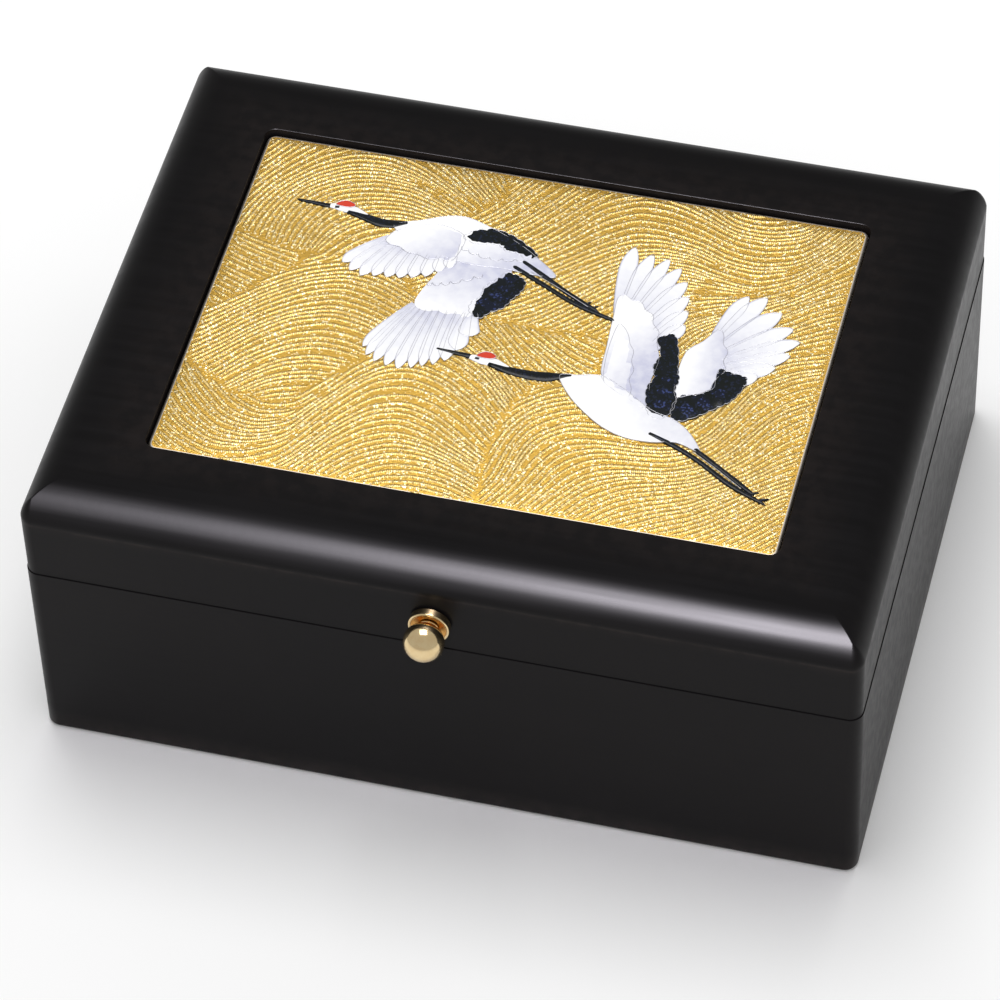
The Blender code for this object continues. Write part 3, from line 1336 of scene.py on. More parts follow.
@dataclass(frozen=True)
class GoldGround:
    """The stamped gold ridges that flow round the cranes like waves.

    Attributes:
        waves: The lines that the ridges follow.
        face: The plate's face.
        height: How high a ridge stands.
        fullness: Half a ridge's width, as a share of the pitch.
        end_share: The share of that width at a ridge's end.
        end_growth: How much of it each step adds.
        cut_shift: How far each ridge's cuts are shifted from the last one's.
    """

    waves: Waves
    face: PlateFace = PlateFace()
    height: float = 0.12
    fullness: float = 0.41
    end_share: float = 0.12
    end_growth: float = 0.35
    cut_shift: float = 3.7

    def build(self, palette: Palette) -> bpy.types.Object:
        """Lays every ridge on the plate.

        Args:
            palette: The finishes.

        Returns:
            The piece.
        """
        shaper = Shaper()
        section = Section(((-1.0, 0.0), (-0.55, 0.72), (0.0, 1.0), (0.55, 0.72), (1.0, 0.0)))
        for place, line in enumerate(self.waves.lines()):
            nearest = [min(step, len(line) - 1 - step) for step in range(len(line))]
            ends = [min(1.0, self.end_share + self.end_growth * steps) for steps in nearest]
            halves = [self.fullness * self.waves.pitch * end for end in ends]
            strip = Strip(line, halves, self.height, section, start=place * self.cut_shift)
            self.face.lay(shaper, strip)
        return shaper.finished("gold_ridges", [palette.ridges], Slot.ENAMEL, recalculated=False)


class Glaze(Enum):
    """The enamel colours of the cranes, in the order of the piece's materials."""

    WHITE = 0
    BLACK = 1
    RED = 2


def smooth_path(points: Sequence[Point], steps: int = 5, closed: bool = False) -> list[Point]:
    """A smooth line through a few points.

    Args:
        points: The points that it passes through.
        steps: How many steps each stretch is cut into.
        closed: Whether it runs back to its start.

    Returns:
        The line's points.
    """
    count = len(points)
    stretches = count if closed else count - 1
    line: list[Point] = []
    for place in range(stretches):
        around = [place - 1, place, place + 1, place + 2]
        around = [item % count if closed else min(max(item, 0), count - 1) for item in around]
        before, start, end, after = (Vector(points[item]) for item in around)
        for step in range(steps):
            share = step / steps
            curve = 2 * start + (end - before) * share
            curve += (2 * before - 5 * start + 4 * end - after) * share**2
            curve += (3 * start - before - 3 * end + after) * share**3
            line.append(tuple(curve / 2))
    if not closed:
        line.append(tuple(points[-1]))
    return line


def between(values: Sequence[float], share: float) -> float:
    """The value at a share of the way along a list, drawn straight between its items.

    Args:
        values: The list.
        share: The share, from 0 to 1.

    Returns:
        The value.
    """
    place = min(max(share, 0.0), 1.0) * (len(values) - 1)
    low = min(int(place), len(values) - 2)
    return values[low] + (values[low + 1] - values[low]) * (place - low)


@dataclass(frozen=True)
class Stroke:
    """A narrow part drawn with one stroke: a beak, a neck, a leg or a wire-thin toe."""

    path: tuple[Point, ...]
    widths: tuple[float, ...]
    glaze: Glaze
    lift: float = 0.3

    def strip(self) -> Strip:
        """The stroke as a strip.

        Returns:
            The strip, narrowed at both ends.
        """
        line = smooth_path(self.path)
        last = len(line) - 1
        halves = [between(self.widths, place / last) / 2 for place in range(last + 1)]
        halves[0], halves[-1] = BLUNT * halves[0], BLUNT * halves[-1]
        return Strip(line, halves, self.lift, Section.round_topped(6, 0.55), finish=self.glaze.value)


@dataclass(frozen=True)
class Patch:
    """A broad cell with a closed outline, shaded from one point to another."""

    outline: tuple[Point, ...]
    glaze: Glaze
    lift: float
    dark_at: Point = (0.0, 0.0)
    light_at: Point = (0.0, 0.0)
    depth: float = 0.0
    smooth_steps: int = 4
    wired: bool = True

    def line(self) -> list[Point]:
        """The outline's points."""
        return smooth_path(self.outline, self.smooth_steps, closed=True)

    def shade(self, x: float, y: float) -> float:
        """The shading at a point of the cell.

        Args:
            x: How far right the point is.
            y: How far back it is.

        Returns:
            The shading, from 0 to 1.
        """
        way_x, way_y = self.light_at[0] - self.dark_at[0], self.light_at[1] - self.dark_at[1]
        long = way_x * way_x + way_y * way_y
        if not long:
            return self.depth
        share = ((x - self.dark_at[0]) * way_x + (y - self.dark_at[1]) * way_y) / long
        return self.depth * (1 - min(max(share, 0.0), 1.0))


@dataclass(frozen=True)
class Fan:
    """A row of white feathers that overlap, each from a root to a tip.

    Attributes:
        roots: The line that the roots lie on.
        tips: The feathers' tips, in order.
        lift: How high the first one stands.
        bend: How far each bows sideways, as a share of its length.
        point: The share of the length over which the tip narrows.
        spread: How wide the feathers are at their tips against the room there.
        rise: How much higher each next one stands.
        shades: Their shading from root to tip.
        steps: How many steps each is cut into.
        fullness: Half a feather's width against the room for it.
        least_room: The least room at a root.
    """

    roots: tuple[Point, ...]
    tips: tuple[Point, ...]
    lift: float
    bend: float
    point: float
    spread: float
    rise: float = 0.008
    shades: tuple[float, ...] = (0.9, 0.3, 0.0)
    steps: int = 12
    fullness: float = 0.56
    least_room: float = 0.9

    def strips(self) -> list[Strip]:
        """The feathers as strips.

        Returns:
            A strip for each feather.
        """
        rooted = smooth_path(self.roots, 8)
        count = len(self.tips)
        xs, ys = zip(*rooted)
        roots = [tuple(between(row, place / (count - 1)) for row in (xs, ys)) for place in range(count)]
        made = []
        for place, (root, tip) in enumerate(zip(roots, self.tips)):
            beside = [other for other in (place - 1, place + 1) if 0 <= other < count]
            root_room = sum(math.dist(root, roots[other]) for other in beside) / len(beside)
            tip_room = sum(math.dist(tip, self.tips[other]) for other in beside) / len(beside)
            made.append(self._feather(root, tip, (max(root_room, self.least_room), tip_room), place))
        return made

    def _feather(self, root: Point, tip: Point, rooms: Point, place: int) -> Strip:
        """One feather of the fan.

        Args:
            root: Its root.
            tip: Its tip.
            rooms: The room for its width at the root and at the tip.
            place: Its place in the fan.

        Returns:
            The feather, closer steps at its tip.
        """
        start, end, (root_room, tip_room) = Vector(root), Vector(tip), rooms
        middle = (start + end) / 2 + (end - start).orthogonal() * self.bend
        line, halves, shades = [], [], []
        for step in range(self.steps + 1):
            share = 1 - (1 - step / self.steps) ** 1.3
            line.append(tuple((1 - share) ** 2 * start + 2 * share * (1 - share) * middle + share**2 * end))
            room = root_room + (tip_room * self.spread - root_room) * share**0.8
            past = max(0.0, (share - 1 + self.point) / self.point)
            halves.append(room * self.fullness * max(1 - past**1.7, 0.0) ** 0.8)
            shades.append(between(self.shades, share))
        lift = self.lift + self.rise * place
        return Strip(line, halves, lift, Section.round_topped(6, 0.7), shades=shades)


@dataclass(frozen=True)
class Crane:
    """A flying crane drawn in enamel cells: fans of feathers, broad cells and strokes."""

    fans: tuple[Fan, ...]
    patches: tuple[Patch, ...]
    strokes: tuple[Stroke, ...]
    wires: tuple[tuple[Point, ...], ...] = ()


@dataclass(frozen=True)
class CranePicture:
    """The cranes on the plate: their enamel cells and the silver wires round them."""

    cranes: tuple[Crane, ...]
    face: PlateFace = PlateFace()
    cell_grid: float = 2.5
    cell_ease: float = 0.10
    wire_width: float = 0.13
    wire_rise: float = 0.04
    wire_foot: float = 0.06
    wire_step: float = 0.12
    leg_lift: float = 0.42

    def build(self, palette: Palette) -> list[bpy.types.Object]:
        """Builds the cells and the wires.

        Args:
            palette: The finishes.

        Returns:
            The two pieces.
        """
        cells, wires = Shaper(), Shaper()
        for crane in self.cranes:
            for strip in [strip for fan in crane.fans for strip in fan.strips()]:
                self.face.lay(cells, strip)
                self._wire(wires, self._edge(strip), strip.lift)
            for stroke in crane.strokes:
                self.face.lay(cells, stroke.strip())
            for patch in crane.patches:
                self._fill(cells, patch)
                if patch.wired:
                    line = patch.line()
                    self._wire(wires, line + line[:1], patch.lift)
            for wire in crane.wires:
                self._wire(wires, smooth_path(wire), self.leg_lift)
        glazes = [palette.white, palette.black, palette.red]
        made = [cells.finished("crane_enamel", glazes, Slot.ENAMEL, recalculated=False)]
        made.append(wires.finished("silver_wires", [palette.silver], Slot.ENAMEL, recalculated=False))
        return made

    def _edge(self, strip: Strip) -> list[Point]:
        """The line round a strip's edge, from its root round the tip and back.

        Args:
            strip: The strip.

        Returns:
            The line's points.
        """
        ways = self.face.ways(strip.path)
        left, right = [], []
        for (x, y), (way_x, way_y), half in zip(strip.path, ways, strip.half_widths):
            left.append((x - way_y * half, y + way_x * half))
            right.append((x + way_y * half, y - way_x * half))
        return left + right[::-1]

    def _wire(self, shaper: Shaper, line: Sequence[Point], lift: float) -> None:
        """Lays a silver wire along a line.

        Args:
            shaper: The mesh to add to.
            line: The line's points.
            lift: How high the cell beside it stands.
        """
        kept = [line[0]]
        for point in line[1:]:
            if math.dist(point, kept[-1]) > self.wire_step:
                kept.append(point)
        if len(kept) < 3:
            return
        halves, top = [self.wire_width / 2] * len(kept), lift + self.wire_rise
        self.face.lay(shaper, Strip(kept, halves, top, Section.round_topped(4, 0.4), lift - self.wire_foot))

    def _fill(self, shaper: Shaper, patch: Patch) -> None:
        """Fills a broad cell: a face, eased at its edge, cut fine enough to follow the crown.

        Args:
            shaper: The mesh to add to.
            patch: The cell to fill.
        """
        mesh = shaper.mesh
        verts = [mesh.verts.new((x * MM, y * MM, 0)) for x, y in patch.line()]
        face = mesh.faces.new(verts)
        face.normal_update()
        if face.normal.z < 0:
            face.normal_flip()
        ease = self.cell_ease * MM
        inset = bmesh.ops.inset_region(mesh, faces=[face], thickness=ease, use_even_offset=False)
        faces = [face, *inset["faces"]]
        geom: list = list({v for f in faces for v in f.verts} | {e for f in faces for e in f.edges}) + faces
        for axis in (0, 1):
            low = min(vert.co[axis] for vert in verts)
            high = max(vert.co[axis] for vert in verts)
            count = int((high - low) / (self.cell_grid * MM))
            for cut in range(1, count + 1):
                spot, way = Vector(), Vector()
                spot[axis], way[axis] = low + cut * (high - low) / (count + 1), 1.0
                made = bmesh.ops.bisect_plane(mesh, geom=geom, dist=1e-7, plane_co=spot, plane_no=way)
                geom = made["geom"]
        faces = [item for item in geom if isinstance(item, bmesh.types.BMFace)]
        rim_edges = [item for item in geom if isinstance(item, bmesh.types.BMEdge) and item.is_boundary]
        rim = {vert for edge in rim_edges for vert in edge.verts}
        for vert in {vert for item in faces for vert in item.verts}:
            x, y = vert.co.x / MM, vert.co.y / MM
            vert[shaper.shade] = patch.shade(x, y)
            vert.co = self.face.at(x, y, patch.lift * (0.8 if vert in rim else 1.0))
        for item in faces:
            item.material_index = patch.glaze.value
        skirt = bmesh.ops.extrude_edge_only(mesh, edges=rim_edges)["geom"]
        for item in skirt:
            if isinstance(item, bmesh.types.BMVert):
                item.co = self.face.at(item.co.x / MM, item.co.y / MM, SUNK)
            if isinstance(item, bmesh.types.BMFace):
                item.material_index = patch.glaze.value


def scalloped(points: Sequence[Point], count: int, depth: float, steps: int = 6) -> list[Point]:
    """A line with a row of small arcs along it, as on the edge of a wing's coverts.

    Args:
        points: The points that the line passes through.
        count: How many arcs it has.
        depth: How far they stand out, to the left of the way that the line runs.
        steps: How many steps each is cut into.

    Returns:
        The line's points.
    """
    line, last = smooth_path(points, steps), steps * count
    across, along = ([between(row, place / last) for place in range(last + 1)] for row in zip(*line))
    made = []
    for place, (x, y) in enumerate(zip(across, along)):
        before, after = max(place - 1, 0), min(place + 1, last)
        way = Vector((across[after] - across[before], along[after] - along[before])).normalized()
        out = depth * abs(math.sin(math.pi * place / steps)) ** ROUND
        made.append((x - way.y * out, y + way.x * out))
    return made


def ragged_band(outline: Sequence[Point], arcs: int, lift: float) -> Patch:
    """A black cell whose edge is a row of small feather ends.

    Args:
        outline: The cell's corners, clockwise.
        arcs: How many feather ends there are round it.
        lift: How high it stands.

    Returns:
        The cell.
    """
    edge = scalloped((*outline, outline[0]), arcs, 0.35)[:-1]
    return Patch(tuple(edge), Glaze.BLACK, lift, smooth_steps=1)


def lobes(middles: Sequence[Point], long: float, wide: float, lift: float, depth: float) -> list[Patch]:
    """A row of squarish black feathers that overlap, low in relief.

    Args:
        middles: The feathers' middles.
        long: Half the length of each along the row.
        wide: Half its width across the row.
        lift: How high the first one stands.
        depth: How navy they are.

    Returns:
        The feathers' cells.
    """
    made, corners, ripple, rise = [], 16, 0.05, 0.015
    for place, (x, y) in enumerate(middles):
        ahead = middles[min(place + 1, len(middles) - 1)]
        behind = middles[max(place - 1, 0)]
        turn = math.atan2(ahead[1] - behind[1], ahead[0] - behind[0])
        outline = []
        for step in range(corners):
            angle = 2 * math.pi * step / corners
            full = 1 / max(abs(math.cos(angle)), abs(math.sin(angle))) ** ROUND
            full *= 1 + ripple * math.sin(5 * angle + 2.1 * place)
            along, across = long * full * math.cos(angle), wide * full * math.sin(angle)
            right = x + along * math.cos(turn) - across * math.sin(turn)
            outline.append((right, y + along * math.sin(turn) + across * math.cos(turn)))
        own = lift + rise * place
        made.append(Patch(tuple(outline), Glaze.BLACK, own, depth=depth, smooth_steps=2, wired=False))
    return made


# The widths of the strokes that both cranes have, in millimetres along each.
FACE, BEAK, EYE, TOE = (0.9, 2.8, 2.6, 0.8), (0.5, 1.1, 1.5), (1.0, 0.9), (0.8, 0.4)


def cap(*outline: float) -> Patch:
    """The red cell on a crane's crown, from its corners' coordinates in a row."""
    return Patch(pairs(*outline), Glaze.RED, 0.44, smooth_steps=3)


def inked(lift: float, widths: tuple[float, ...], *path: float) -> Stroke:
    """A black stroke, from its points' coordinates in a row."""
    return Stroke(pairs(*path), widths, Glaze.BLACK, lift)


def upper_crane() -> Crane:
    """The crane at the upper left, flying left with its wings down.

    Returns:
        The crane.
    """
    far_tips = pairs(
        -34, -11, -32.6, -13.4, -30.2, -15, -27.2, -15.8, -24.2, -16.2, -21.2, -15.2, -18.8, -14.2,
        -16.4, -13, -14, -11.2, -12, -7.4, -10.4, -2.6
    )
    near_tips = pairs(
        -46, 14.4, -43.6, 12.2, -40.6, 11, -37.6, 11.6, -34.4, 11.8, -31.4, 12.2, -28.4, 12.9,
        -25.4, 14, -22.8, 16, -20.4, 17.8
    )
    fans = (
        Fan(pairs(-25.8, 5, -20, 3.8, -11, 5.5), far_tips, 0.20, -0.05, 0.24, 1.06),
        Fan(pairs(-37, 25, -30, 23.5, -20.8, 26), near_tips, 0.26, -0.06, 0.24, 1.06),
    )
    body = pairs(
        -37, 29, -31, 31.8, -25, 34.6, -20, 35.2, -13.5, 33, -6, 29.4, 0.5, 25, 5.2, 20.6,
        -1.5, 20.2, -8, 20.6, -16, 20.2, -24, 21.8, -33, 25.5
    )
    arm = pairs(
        -19.2, 21, -23.4, 14, -25.6, 7, -25.2, 4.4, -23.6, 3.4, -21.8, 3.2, -19.6, 3.8, -17.4, 3.2,
        -15, 3.8, -12.6, 2.6, -10.8, 3.2, -9.8, 7, -9, 13, -5.6, 20.8
    )
    covert = pairs(
        -34.8, 28.2, -37.6, 24.4, -36.6, 22.6, -34, 22.2, -31.6, 20.8, -28.8, 20.6, -26.2, 19.6,
        -23.4, 20.4, -20.6, 20.2, -19.2, 24, -19.6, 29.2, -27, 31.4
    )
    back = pairs(
        -19.6, 28.6, -17.4, 31.2, -13.6, 32.6, -9.2, 31.8, -5.2, 29.8, -1, 26.6, -3, 25.2,
        -5.8, 26.4, -8.4, 26.6, -10.6, 28, -13.4, 27.8, -16.6, 27.4
    )
    under = pairs(
        -6.6, 19.4, -3.6, 18.8, -1.6, 17.2, -2, 14, -3.4, 11.4, -4.8, 8.2, -7.4, 6.2, -9.4, 3.8,
        -12, 5.4, -12.2, 8, -10.6, 10.4, -10.4, 13.6, -8.4, 16.4
    )
    patches = (
        Patch(arm, Glaze.WHITE, 0.31, (-15.0, 19.0), (-18.0, 3.0), 0.95, wired=False),
        Patch(body, Glaze.WHITE, 0.33, (-8.0, 19.6), (-15.0, 30.0), 0.95),
        Patch(covert, Glaze.WHITE, 0.38, (-23.0, 20.4), (-31.0, 28.0), 0.85),
        ragged_band(back, 20, 0.38),
        ragged_band(under, 22, 0.34),
        *lobes(pairs(-5, 17, -5.9, 14.2, -7, 11.4, -8.6, 8.4), 1.5, 2.7, 0.36, 0.8),
        cap(-52.5, 32.6, -51.7, 33.7, -50.3, 34.3, -48.8, 34, -47.7, 33.1, -48.8, 32.3, -50.6, 32.2),
    )
    leg = (1.1, 1.3, 1.25, 1.35, 0.8)
    strokes = (
        Stroke(pairs(-54.2, 32, -51, 32.2, -47.4, 31.5, -43.6, 30.4), FACE, Glaze.WHITE, 0.34),
        inked(0.36, BEAK, -62.4, 32.4, -58, 32.2, -53.2, 31.9),
        inked(0.38, (0.9, 2.2, 2.7, 2.6, 0.9), -49.6, 31, -45, 30.2, -41, 29.2, -37.4, 29.2, -33.6, 30.6),
        inked(0.40, EYE, -52.7, 31.8, -51.3, 31.9),
        inked(0.42, leg, -6.4, 22.4, 3, 17.6, 12, 13.2, 22.8, 9.8),
        inked(0.44, leg, -4.4, 24.4, 3.4, 19.8, 10, 15.8, 18, 11.8),
        inked(0.40, TOE, 15.4, 12.4, 17.4, 13.8),
        inked(0.40, TOE, 13.6, 13, 15.4, 14.8),
    )
    wires = (
        tuple(scalloped(pairs(-24.4, 12, -19, 13.6, -12, 17.6), 6, -0.9)),
        tuple(scalloped(pairs(-19.2, 25.4, -12, 23.4, -3.4, 24.6), 6, -0.8)),
        pairs(-1, 21, 7.2, 17, 15, 12.8),
    )
    return Crane(fans, patches, strokes, wires)


def lower_crane() -> Crane:
    """The crane at the lower right, flying left with its wings up.

    Returns:
        The crane.
    """
    first_tips = pairs(
        21.4, 34.8, 26.2, 33.4, 30.4, 32.8, 33.8, 30.4, 36.2, 26.2, 37.6, 21.6, 38.4, 17, 38.8, 12.4
    )
    second_tips = pairs(
        51.4, 25, 55.8, 25.6, 60.2, 21.4, 64, 17.2, 66.4, 13.4, 65, 8.6, 62.4, 4.2, 59, 0.4
    )
    fans = (
        Fan(pairs(22.2, 11, 26.4, 9, 32.6, 3), first_tips, 0.20, 0.04, 0.34, 0.98),
        Fan(pairs(45.6, 8, 48.4, 3, 49.5, -4), second_tips, 0.20, 0.04, 0.34, 0.98),
    )
    body = pairs(
        13.6, -9.9, 18, -8.8, 23.5, -7.8, 30, -11, 37, -15.5, 43, -17.4, 47.4, -20.6, 50.8, -25.6,
        45, -24, 39, -25.2, 33, -25.2, 27, -23.2, 21.5, -19.4, 17, -15.2
    )
    first_arm = pairs(
        23.4, -8.4, 22.2, 2, 21.5, 12, 21.2, 17.4, 22.8, 18.6, 24.8, 17.4, 27, 17.2, 28.4, 15.2,
        30.6, 13.8, 31.2, 11.2, 33.2, 8.8, 33.4, 5.6, 35.2, 0, 34.8, -8, 36.4, -15.4, 30, -12.8
    )
    first_covert = pairs(
        23.8, -8.4, 22.8, 0, 23.2, 8.6, 24.8, 8.4, 26.4, 6.2, 27.4, 3.6, 28.8, 1.4, 29, -1.6,
        30.2, -4.4, 29.8, -7.4, 31, -10.4, 30.4, -13, 26, -10.8
    )
    second_arm = pairs(
        40.8, 4, 44, 8.4, 46.6, 12.8, 48.2, 11.6, 48.8, 8.6, 50.4, 6.4, 50, 3.2, 51.2, 0.6,
        49.6, -2.6, 49.4, -6, 44.6, -9, 41.4, -10, 40.4, -4
    )
    first_dark = pairs(
        33.4, 6.6, 36.8, 8.6, 38.8, 4, 40, -1.6, 41, -5, 40.8, -8, 41.8, -11.4, 41.4, -15,
        39.4, -17.6, 36.8, -16.8, 35.4, -13.4, 34.6, -9, 35.6, -5.6, 34.6, -2, 35.4, 2
    )
    second_dark = pairs(
        49.8, 0.6, 53, -0.2, 56.4, -1, 55.8, -5.2, 54, -8.8, 51.4, -11.4, 48, -14.6, 44.2, -17.2,
        42, -16.2, 41.8, -12.4, 43.2, -9.6, 46.6, -8.6, 49.2, -5.8
    )
    patches = (
        Patch(second_arm, Glaze.WHITE, 0.29, (50.5, 1.0), (42.5, 1.0), 1.0),
        Patch(first_arm, Glaze.WHITE, 0.30, (34.0, 0.0), (25.0, 8.0), 1.0),
        Patch(first_covert, Glaze.WHITE, 0.33, (31.0, -7.0), (24.0, -1.0), 0.7),
        Patch(body, Glaze.WHITE, 0.36, (38.0, -14.0), (31.0, -19.0), 0.45),
        ragged_band(second_dark, 24, 0.34),
        ragged_band(first_dark, 26, 0.36),
        *lobes(pairs(51.6, -7, 48.4, -10.6, 45.2, -13.6), 1.9, 2.3, 0.36, 0.9),
        *lobes(pairs(38.2, -5.6, 38.4, -9.4, 38.6, -13.4), 1.9, 2.5, 0.38, 0.9),
        cap(-6.9, -8.2, -6.1, -7.1, -4.8, -6.5, -3.3, -6.7, -2.3, -7.6, -3.2, -8.4, -5, -8.6),
    )
    leg = (1.1, 1.3, 1.25, 1.4, 0.8)
    strokes = (
        Stroke(pairs(-8.8, -8.7, -5.6, -8.9, -2, -9.4, 1.8, -10.4), FACE, Glaze.WHITE, 0.34),
        inked(0.36, BEAK, -17.2, -7.8, -12.6, -8.2, -7.8, -8.5),
        inked(0.39, (0.9, 2.2, 2.7, 2.9, 0.7), -4.2, -9.8, 1, -10.8, 6.5, -11.2, 11, -10.8, 17, -9),
        inked(0.40, EYE, -7.3, -8.9, -5.9, -9),
        inked(0.44, leg, 37.4, -22.4, 44, -24.8, 51, -28.2, 60, -33.8, 69.2, -37.8),
        inked(0.42, leg, 49, -24.6, 55, -28.4, 60.5, -32, 66, -35.6),
        inked(0.40, TOE, 64.6, -35.4, 67, -34.4),
        inked(0.40, TOE, 67, -36.8, 69.6, -35.8),
    )
    wires = (pairs(49.4, -26, 55.4, -29.6, 62.6, -34.4),)
    return Crane(fans, patches, strokes, wires)


@dataclass(frozen=True)
class BrassFittings:
    """The knob on the lid's front and the turned seat behind it."""

    sizes: BoxSizes = BoxSizes()
    off_centre: float = -0.0010
    gap: float = 0.0003
    seat_radius: float = 0.00495
    seat_thickness: float = 0.0019
    seat_bead: float = 0.00035
    seat_dish: float = 0.0008
    head_radius: float = 0.0049
    head_depth: float = 0.0091
    neck: float = 0.0021
    neck_height: float = 0.0005
    neck_flare: float = 0.0003
    turn_steps: int = 72
    bead_steps: int = 12
    head_steps: int = 40
    flare_steps: int = 5

    def build(self, palette: Palette) -> list[bpy.types.Object]:
        """Turns the seat and the knob and puts them in the CAD's place.

        Args:
            palette: The finishes.

        Returns:
            The two pieces.
        """
        return [self._seat(palette), self._knob(palette)]

    def _place(self, back: float) -> Matrix:
        """Where a turned piece stands.

        Args:
            back: How far its back is from the wood.

        Returns:
            The piece's place, its axis along the box's depth.
        """
        size = self.sizes
        height = size.seam_top + size.lid_side / 2
        spot = Vector((self.off_centre, -size.depth / 2 - back, height))
        return Matrix.Translation(spot) @ Matrix.Rotation(math.pi / 2, 4, "X")

    def _seat(self, palette: Palette) -> bpy.types.Object:
        """The seat: a disc with a beaded rim round a dished face.

        Args:
            palette: The finishes.

        Returns:
            The piece.
        """
        shaper, bead, radius = Shaper(), self.seat_bead, self.seat_radius
        edge = self.seat_thickness - bead
        profile = [(0, 0), (radius, 0), (radius, edge / 2)]
        for step in range(self.bead_steps + 1):
            angle = math.pi * step / self.bead_steps
            profile.append((radius - bead + bead * math.cos(angle), edge + bead * math.sin(angle)))
        for step in range(1, self.bead_steps + 1):
            angle = math.pi / 2 * step / self.bead_steps
            deep = (self.seat_dish - bead) * math.sin(angle)
            profile.append(((radius - 2 * bead) * math.cos(angle), edge - deep))
        profile[-1] = (0, self.seat_thickness - self.seat_dish)
        place = self._place(self.gap)
        turned(shaper, profile, self.turn_steps, place)
        for face in shaper.mesh.faces:
            middle = place.inverted() @ face.calc_center_median()
            inner = math.hypot(middle.x, middle.y) < radius - 2.2 * bead
            face.material_index = 1 if inner and middle.z > edge / 2 else 0
        return shaper.finished("brass_seat", [palette.brass, palette.dish], Slot.BRASS, "knob_seat")

    def _knob(self, palette: Palette) -> bpy.types.Object:
        """The knob: a short neck flared at its foot, and a round head, slightly flattened.

        Args:
            palette: The finishes.

        Returns:
            The piece.
        """
        shaper, half = Shaper(), self.head_depth / 2
        foot = self.seat_thickness - self.seat_dish + 2 * self.gap
        start = math.asin(self.neck / self.head_radius)
        centre = foot + self.neck_height + half * math.cos(start)
        wide, narrow = (self.neck + self.neck_flare, foot), (self.neck, foot + self.neck_flare)
        profile = [(0, foot), *rounding(wide, narrow, self.flare_steps, True)]
        for step in range(self.head_steps + 1):
            angle = start + (math.pi - start) * step / self.head_steps
            profile.append((self.head_radius * math.sin(angle), centre - half * math.cos(angle)))
        profile[-1] = (0, centre + half)
        turned(shaper, profile, self.turn_steps, self._place(0))
        return shaper.finished("brass_knob", [palette.brass], Slot.BRASS, "knob")


class Flags(Enum):
    """What the studio's flags keep a lamp off."""

    NONE = 0
    OFF_WOOD = 1
    OFF_ALL_BUT_WOOD = 2


@dataclass(frozen=True)
class Lamp:
    """A soft rectangular lamp.

    Attributes:
        name: The lamp's name.
        place: Where it hangs.
        aim: What it points at.
        width: Its width.
        height: Its height.
        power: Its power in watts.
        colour: Its colour.
        flags: What flags keep it off.
    """

    name: str
    place: Place
    aim: Place
    width: float
    height: float
    power: float
    colour: Colour = (1.0, 1.0, 1.0)
    flags: Flags = Flags.NONE

    def hang(self, wood: Sequence[bpy.types.Object], others: Sequence[bpy.types.Object]) -> None:
        """Hangs the lamp.

        Args:
            wood: The lacquered pieces.
            others: The plate, the brass and the floor.
        """
        light = bpy.data.lights.new(self.name, "AREA")
        light.shape, light.size, light.size_y = "RECTANGLE", self.width, self.height
        light.energy, light.color = self.power, self.colour
        made = bpy.data.objects.new(self.name, light)
        bpy.context.scene.collection.objects.link(made)
        way = Vector(self.aim) - Vector(self.place)
        turn = way.to_track_quat("-Z", "Y").to_matrix().to_4x4()
        made.matrix_world = Matrix.Translation(self.place) @ turn
        if self.flags is not Flags.NONE:
            lit = bpy.data.collections.new(self.name + "_lit")
            for piece in others if self.flags is Flags.OFF_WOOD else wood:
                lit.objects.link(piece)
            made.light_linking.receiver_collection = lit
            made.visible_diffuse = self.flags is Flags.OFF_WOOD


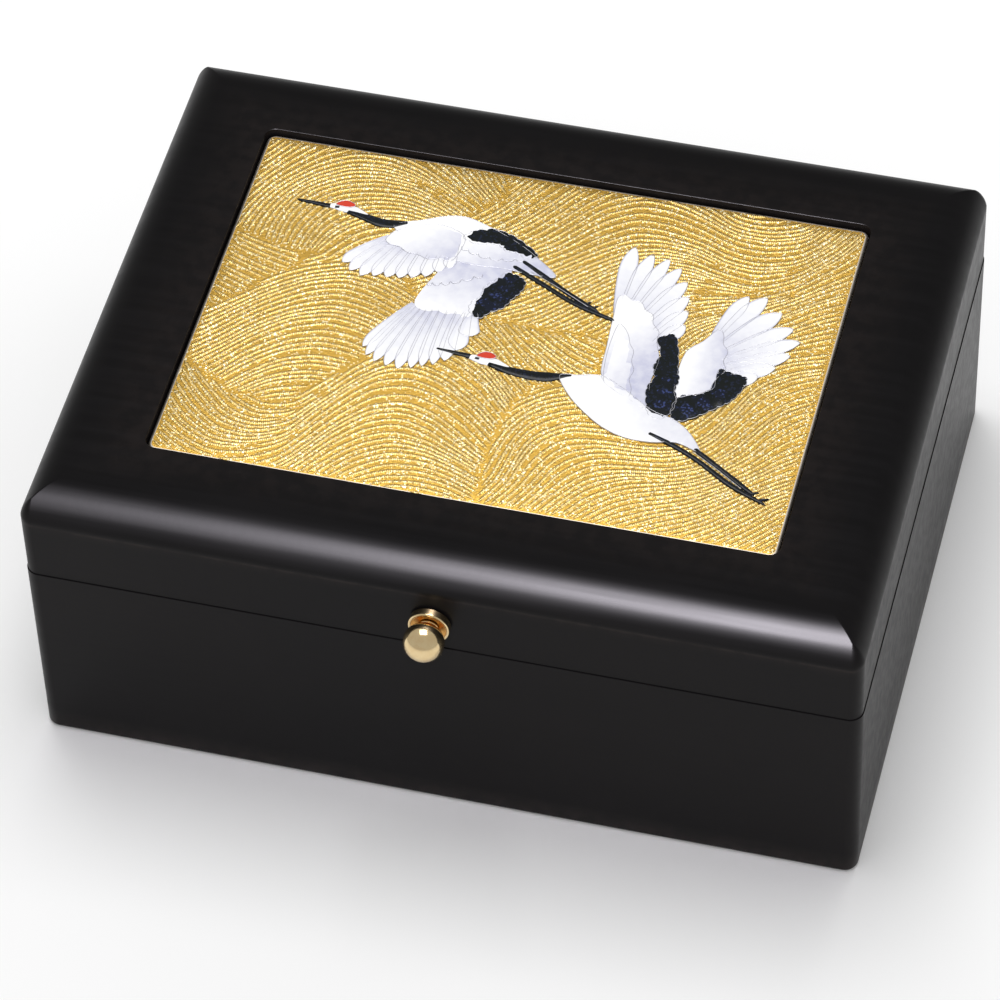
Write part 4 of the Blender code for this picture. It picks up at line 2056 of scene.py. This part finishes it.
@dataclass(frozen=True)
class Studio:
    """The pale floor, the soft light and the camera.

    Attributes:
        lamps: The lamps.
        surround: The strength of the light from all round.
        floor_side: The floor's side.
        floor_drop: How far below the box the floor lies.
        aim: The point that the camera looks at.
        azimuth: How far round to the right of the front it stands, in radians.
        elevation: How high it stands, in radians.
        roll: How far it is rolled, in radians.
        distance: How far off it stands.
        lens: Its focal length in millimetres.
        sensor: Its sensor's width in millimetres.
        nearest: The distance at which it starts to see.
    """

    lamps: tuple[Lamp, ...]
    surround: float = 0.55
    floor_side: float = 8.0
    floor_drop: float = 0.00002
    aim: Place = (-0.00789, 0.00991, 0.01009)
    azimuth: float = math.radians(16.08)
    elevation: float = math.radians(49.24)
    roll: float = -0.04224
    distance: float = 1.3070
    lens: float = 189.71
    sensor: float = 36.0
    nearest: float = 0.01

    def build(self, wood: Sequence[bpy.types.Object], others: Sequence[bpy.types.Object]) -> None:
        """Lays the floor, hangs the lamps and stands the camera.

        Args:
            wood: The lacquered pieces.
            others: The box's other pieces.
        """
        mesh = bmesh.new()
        bmesh.ops.create_grid(mesh, x_segments=4, y_segments=4, size=self.floor_side / 2)
        data = bpy.data.meshes.new("floor")
        mesh.to_mesh(data)
        mesh.free()
        data.materials.append(Paper("pale_paper").make())
        floor = bpy.data.objects.new("floor", data)
        data.transform(Matrix.Translation((0, 0, -self.floor_drop)))
        bpy.context.scene.collection.objects.link(floor)
        for lamp in self.lamps:
            lamp.hang(wood, [*others, floor])
        world = bpy.data.worlds.new("studio")
        world.use_nodes = True
        inputs = world.node_tree.nodes["Background"].inputs
        inputs["Strength"].default_value = self.surround
        inputs["Color"].default_value = (1.0, 1.0, 1.0, 1.0)
        bpy.context.scene.world = world
        bpy.context.scene.view_settings.view_transform = "Standard"
        self._camera()

    def _camera(self) -> None:
        """Stands the camera at the photograph's viewing angle."""
        side = Vector((math.cos(self.azimuth), math.sin(self.azimuth), 0))
        level = math.cos(self.elevation)
        back = Vector((level * side.y, -level * side.x, math.sin(self.elevation)))
        above = back.cross(side)
        right = math.cos(self.roll) * side + math.sin(self.roll) * above
        upward = back.cross(right)
        turn = Matrix((right, upward, back)).transposed().to_4x4()
        camera = bpy.data.cameras.new("camera")
        camera.lens, camera.sensor_width, camera.clip_start = self.lens, self.sensor, self.nearest
        made = bpy.data.objects.new("camera", camera)
        bpy.context.scene.collection.objects.link(made)
        made.matrix_world = Matrix.Translation(Vector(self.aim) + back * self.distance) @ turn
        bpy.context.scene.camera = made


def main() -> None:
    """Builds the box, its plate and its brass."""
    logging.basicConfig(level=logging.INFO, format="%(name)s: %(message)s")
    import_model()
    sizes, palette = BoxSizes(), Palette()
    base = WoodenBase(sizes).build(palette)
    lid = WoodenLid(sizes).build(palette)
    others = [PlateBody(sizes).build(palette)]
    face = PlateFace(sizes)
    others.append(GoldGround(Waves(wave_parts()), face).build(palette))
    others += CranePicture((upper_crane(), lower_crane()), face).build(palette)
    others += BrassFittings(sizes).build(palette)
    lamps = (
        Lamp("overhead", (-0.10, 0.35, 1.5), (0, 0, 0.06), 0.9, 0.9, 14.0, flags=Flags.OFF_WOOD),
        Lamp(
            name="shoulder",
            place=(0.03, -0.72, 0.90),
            aim=(0.02, -0.07, 0.08),
            width=0.30,
            height=0.84,
            power=147.0,
            colour=(0.96, 0.91, 1.0),
            flags=Flags.OFF_ALL_BUT_WOOD,
        ),
    )
    Studio(lamps).build([base, lid], others)


if __name__ == "__main__":
    main()
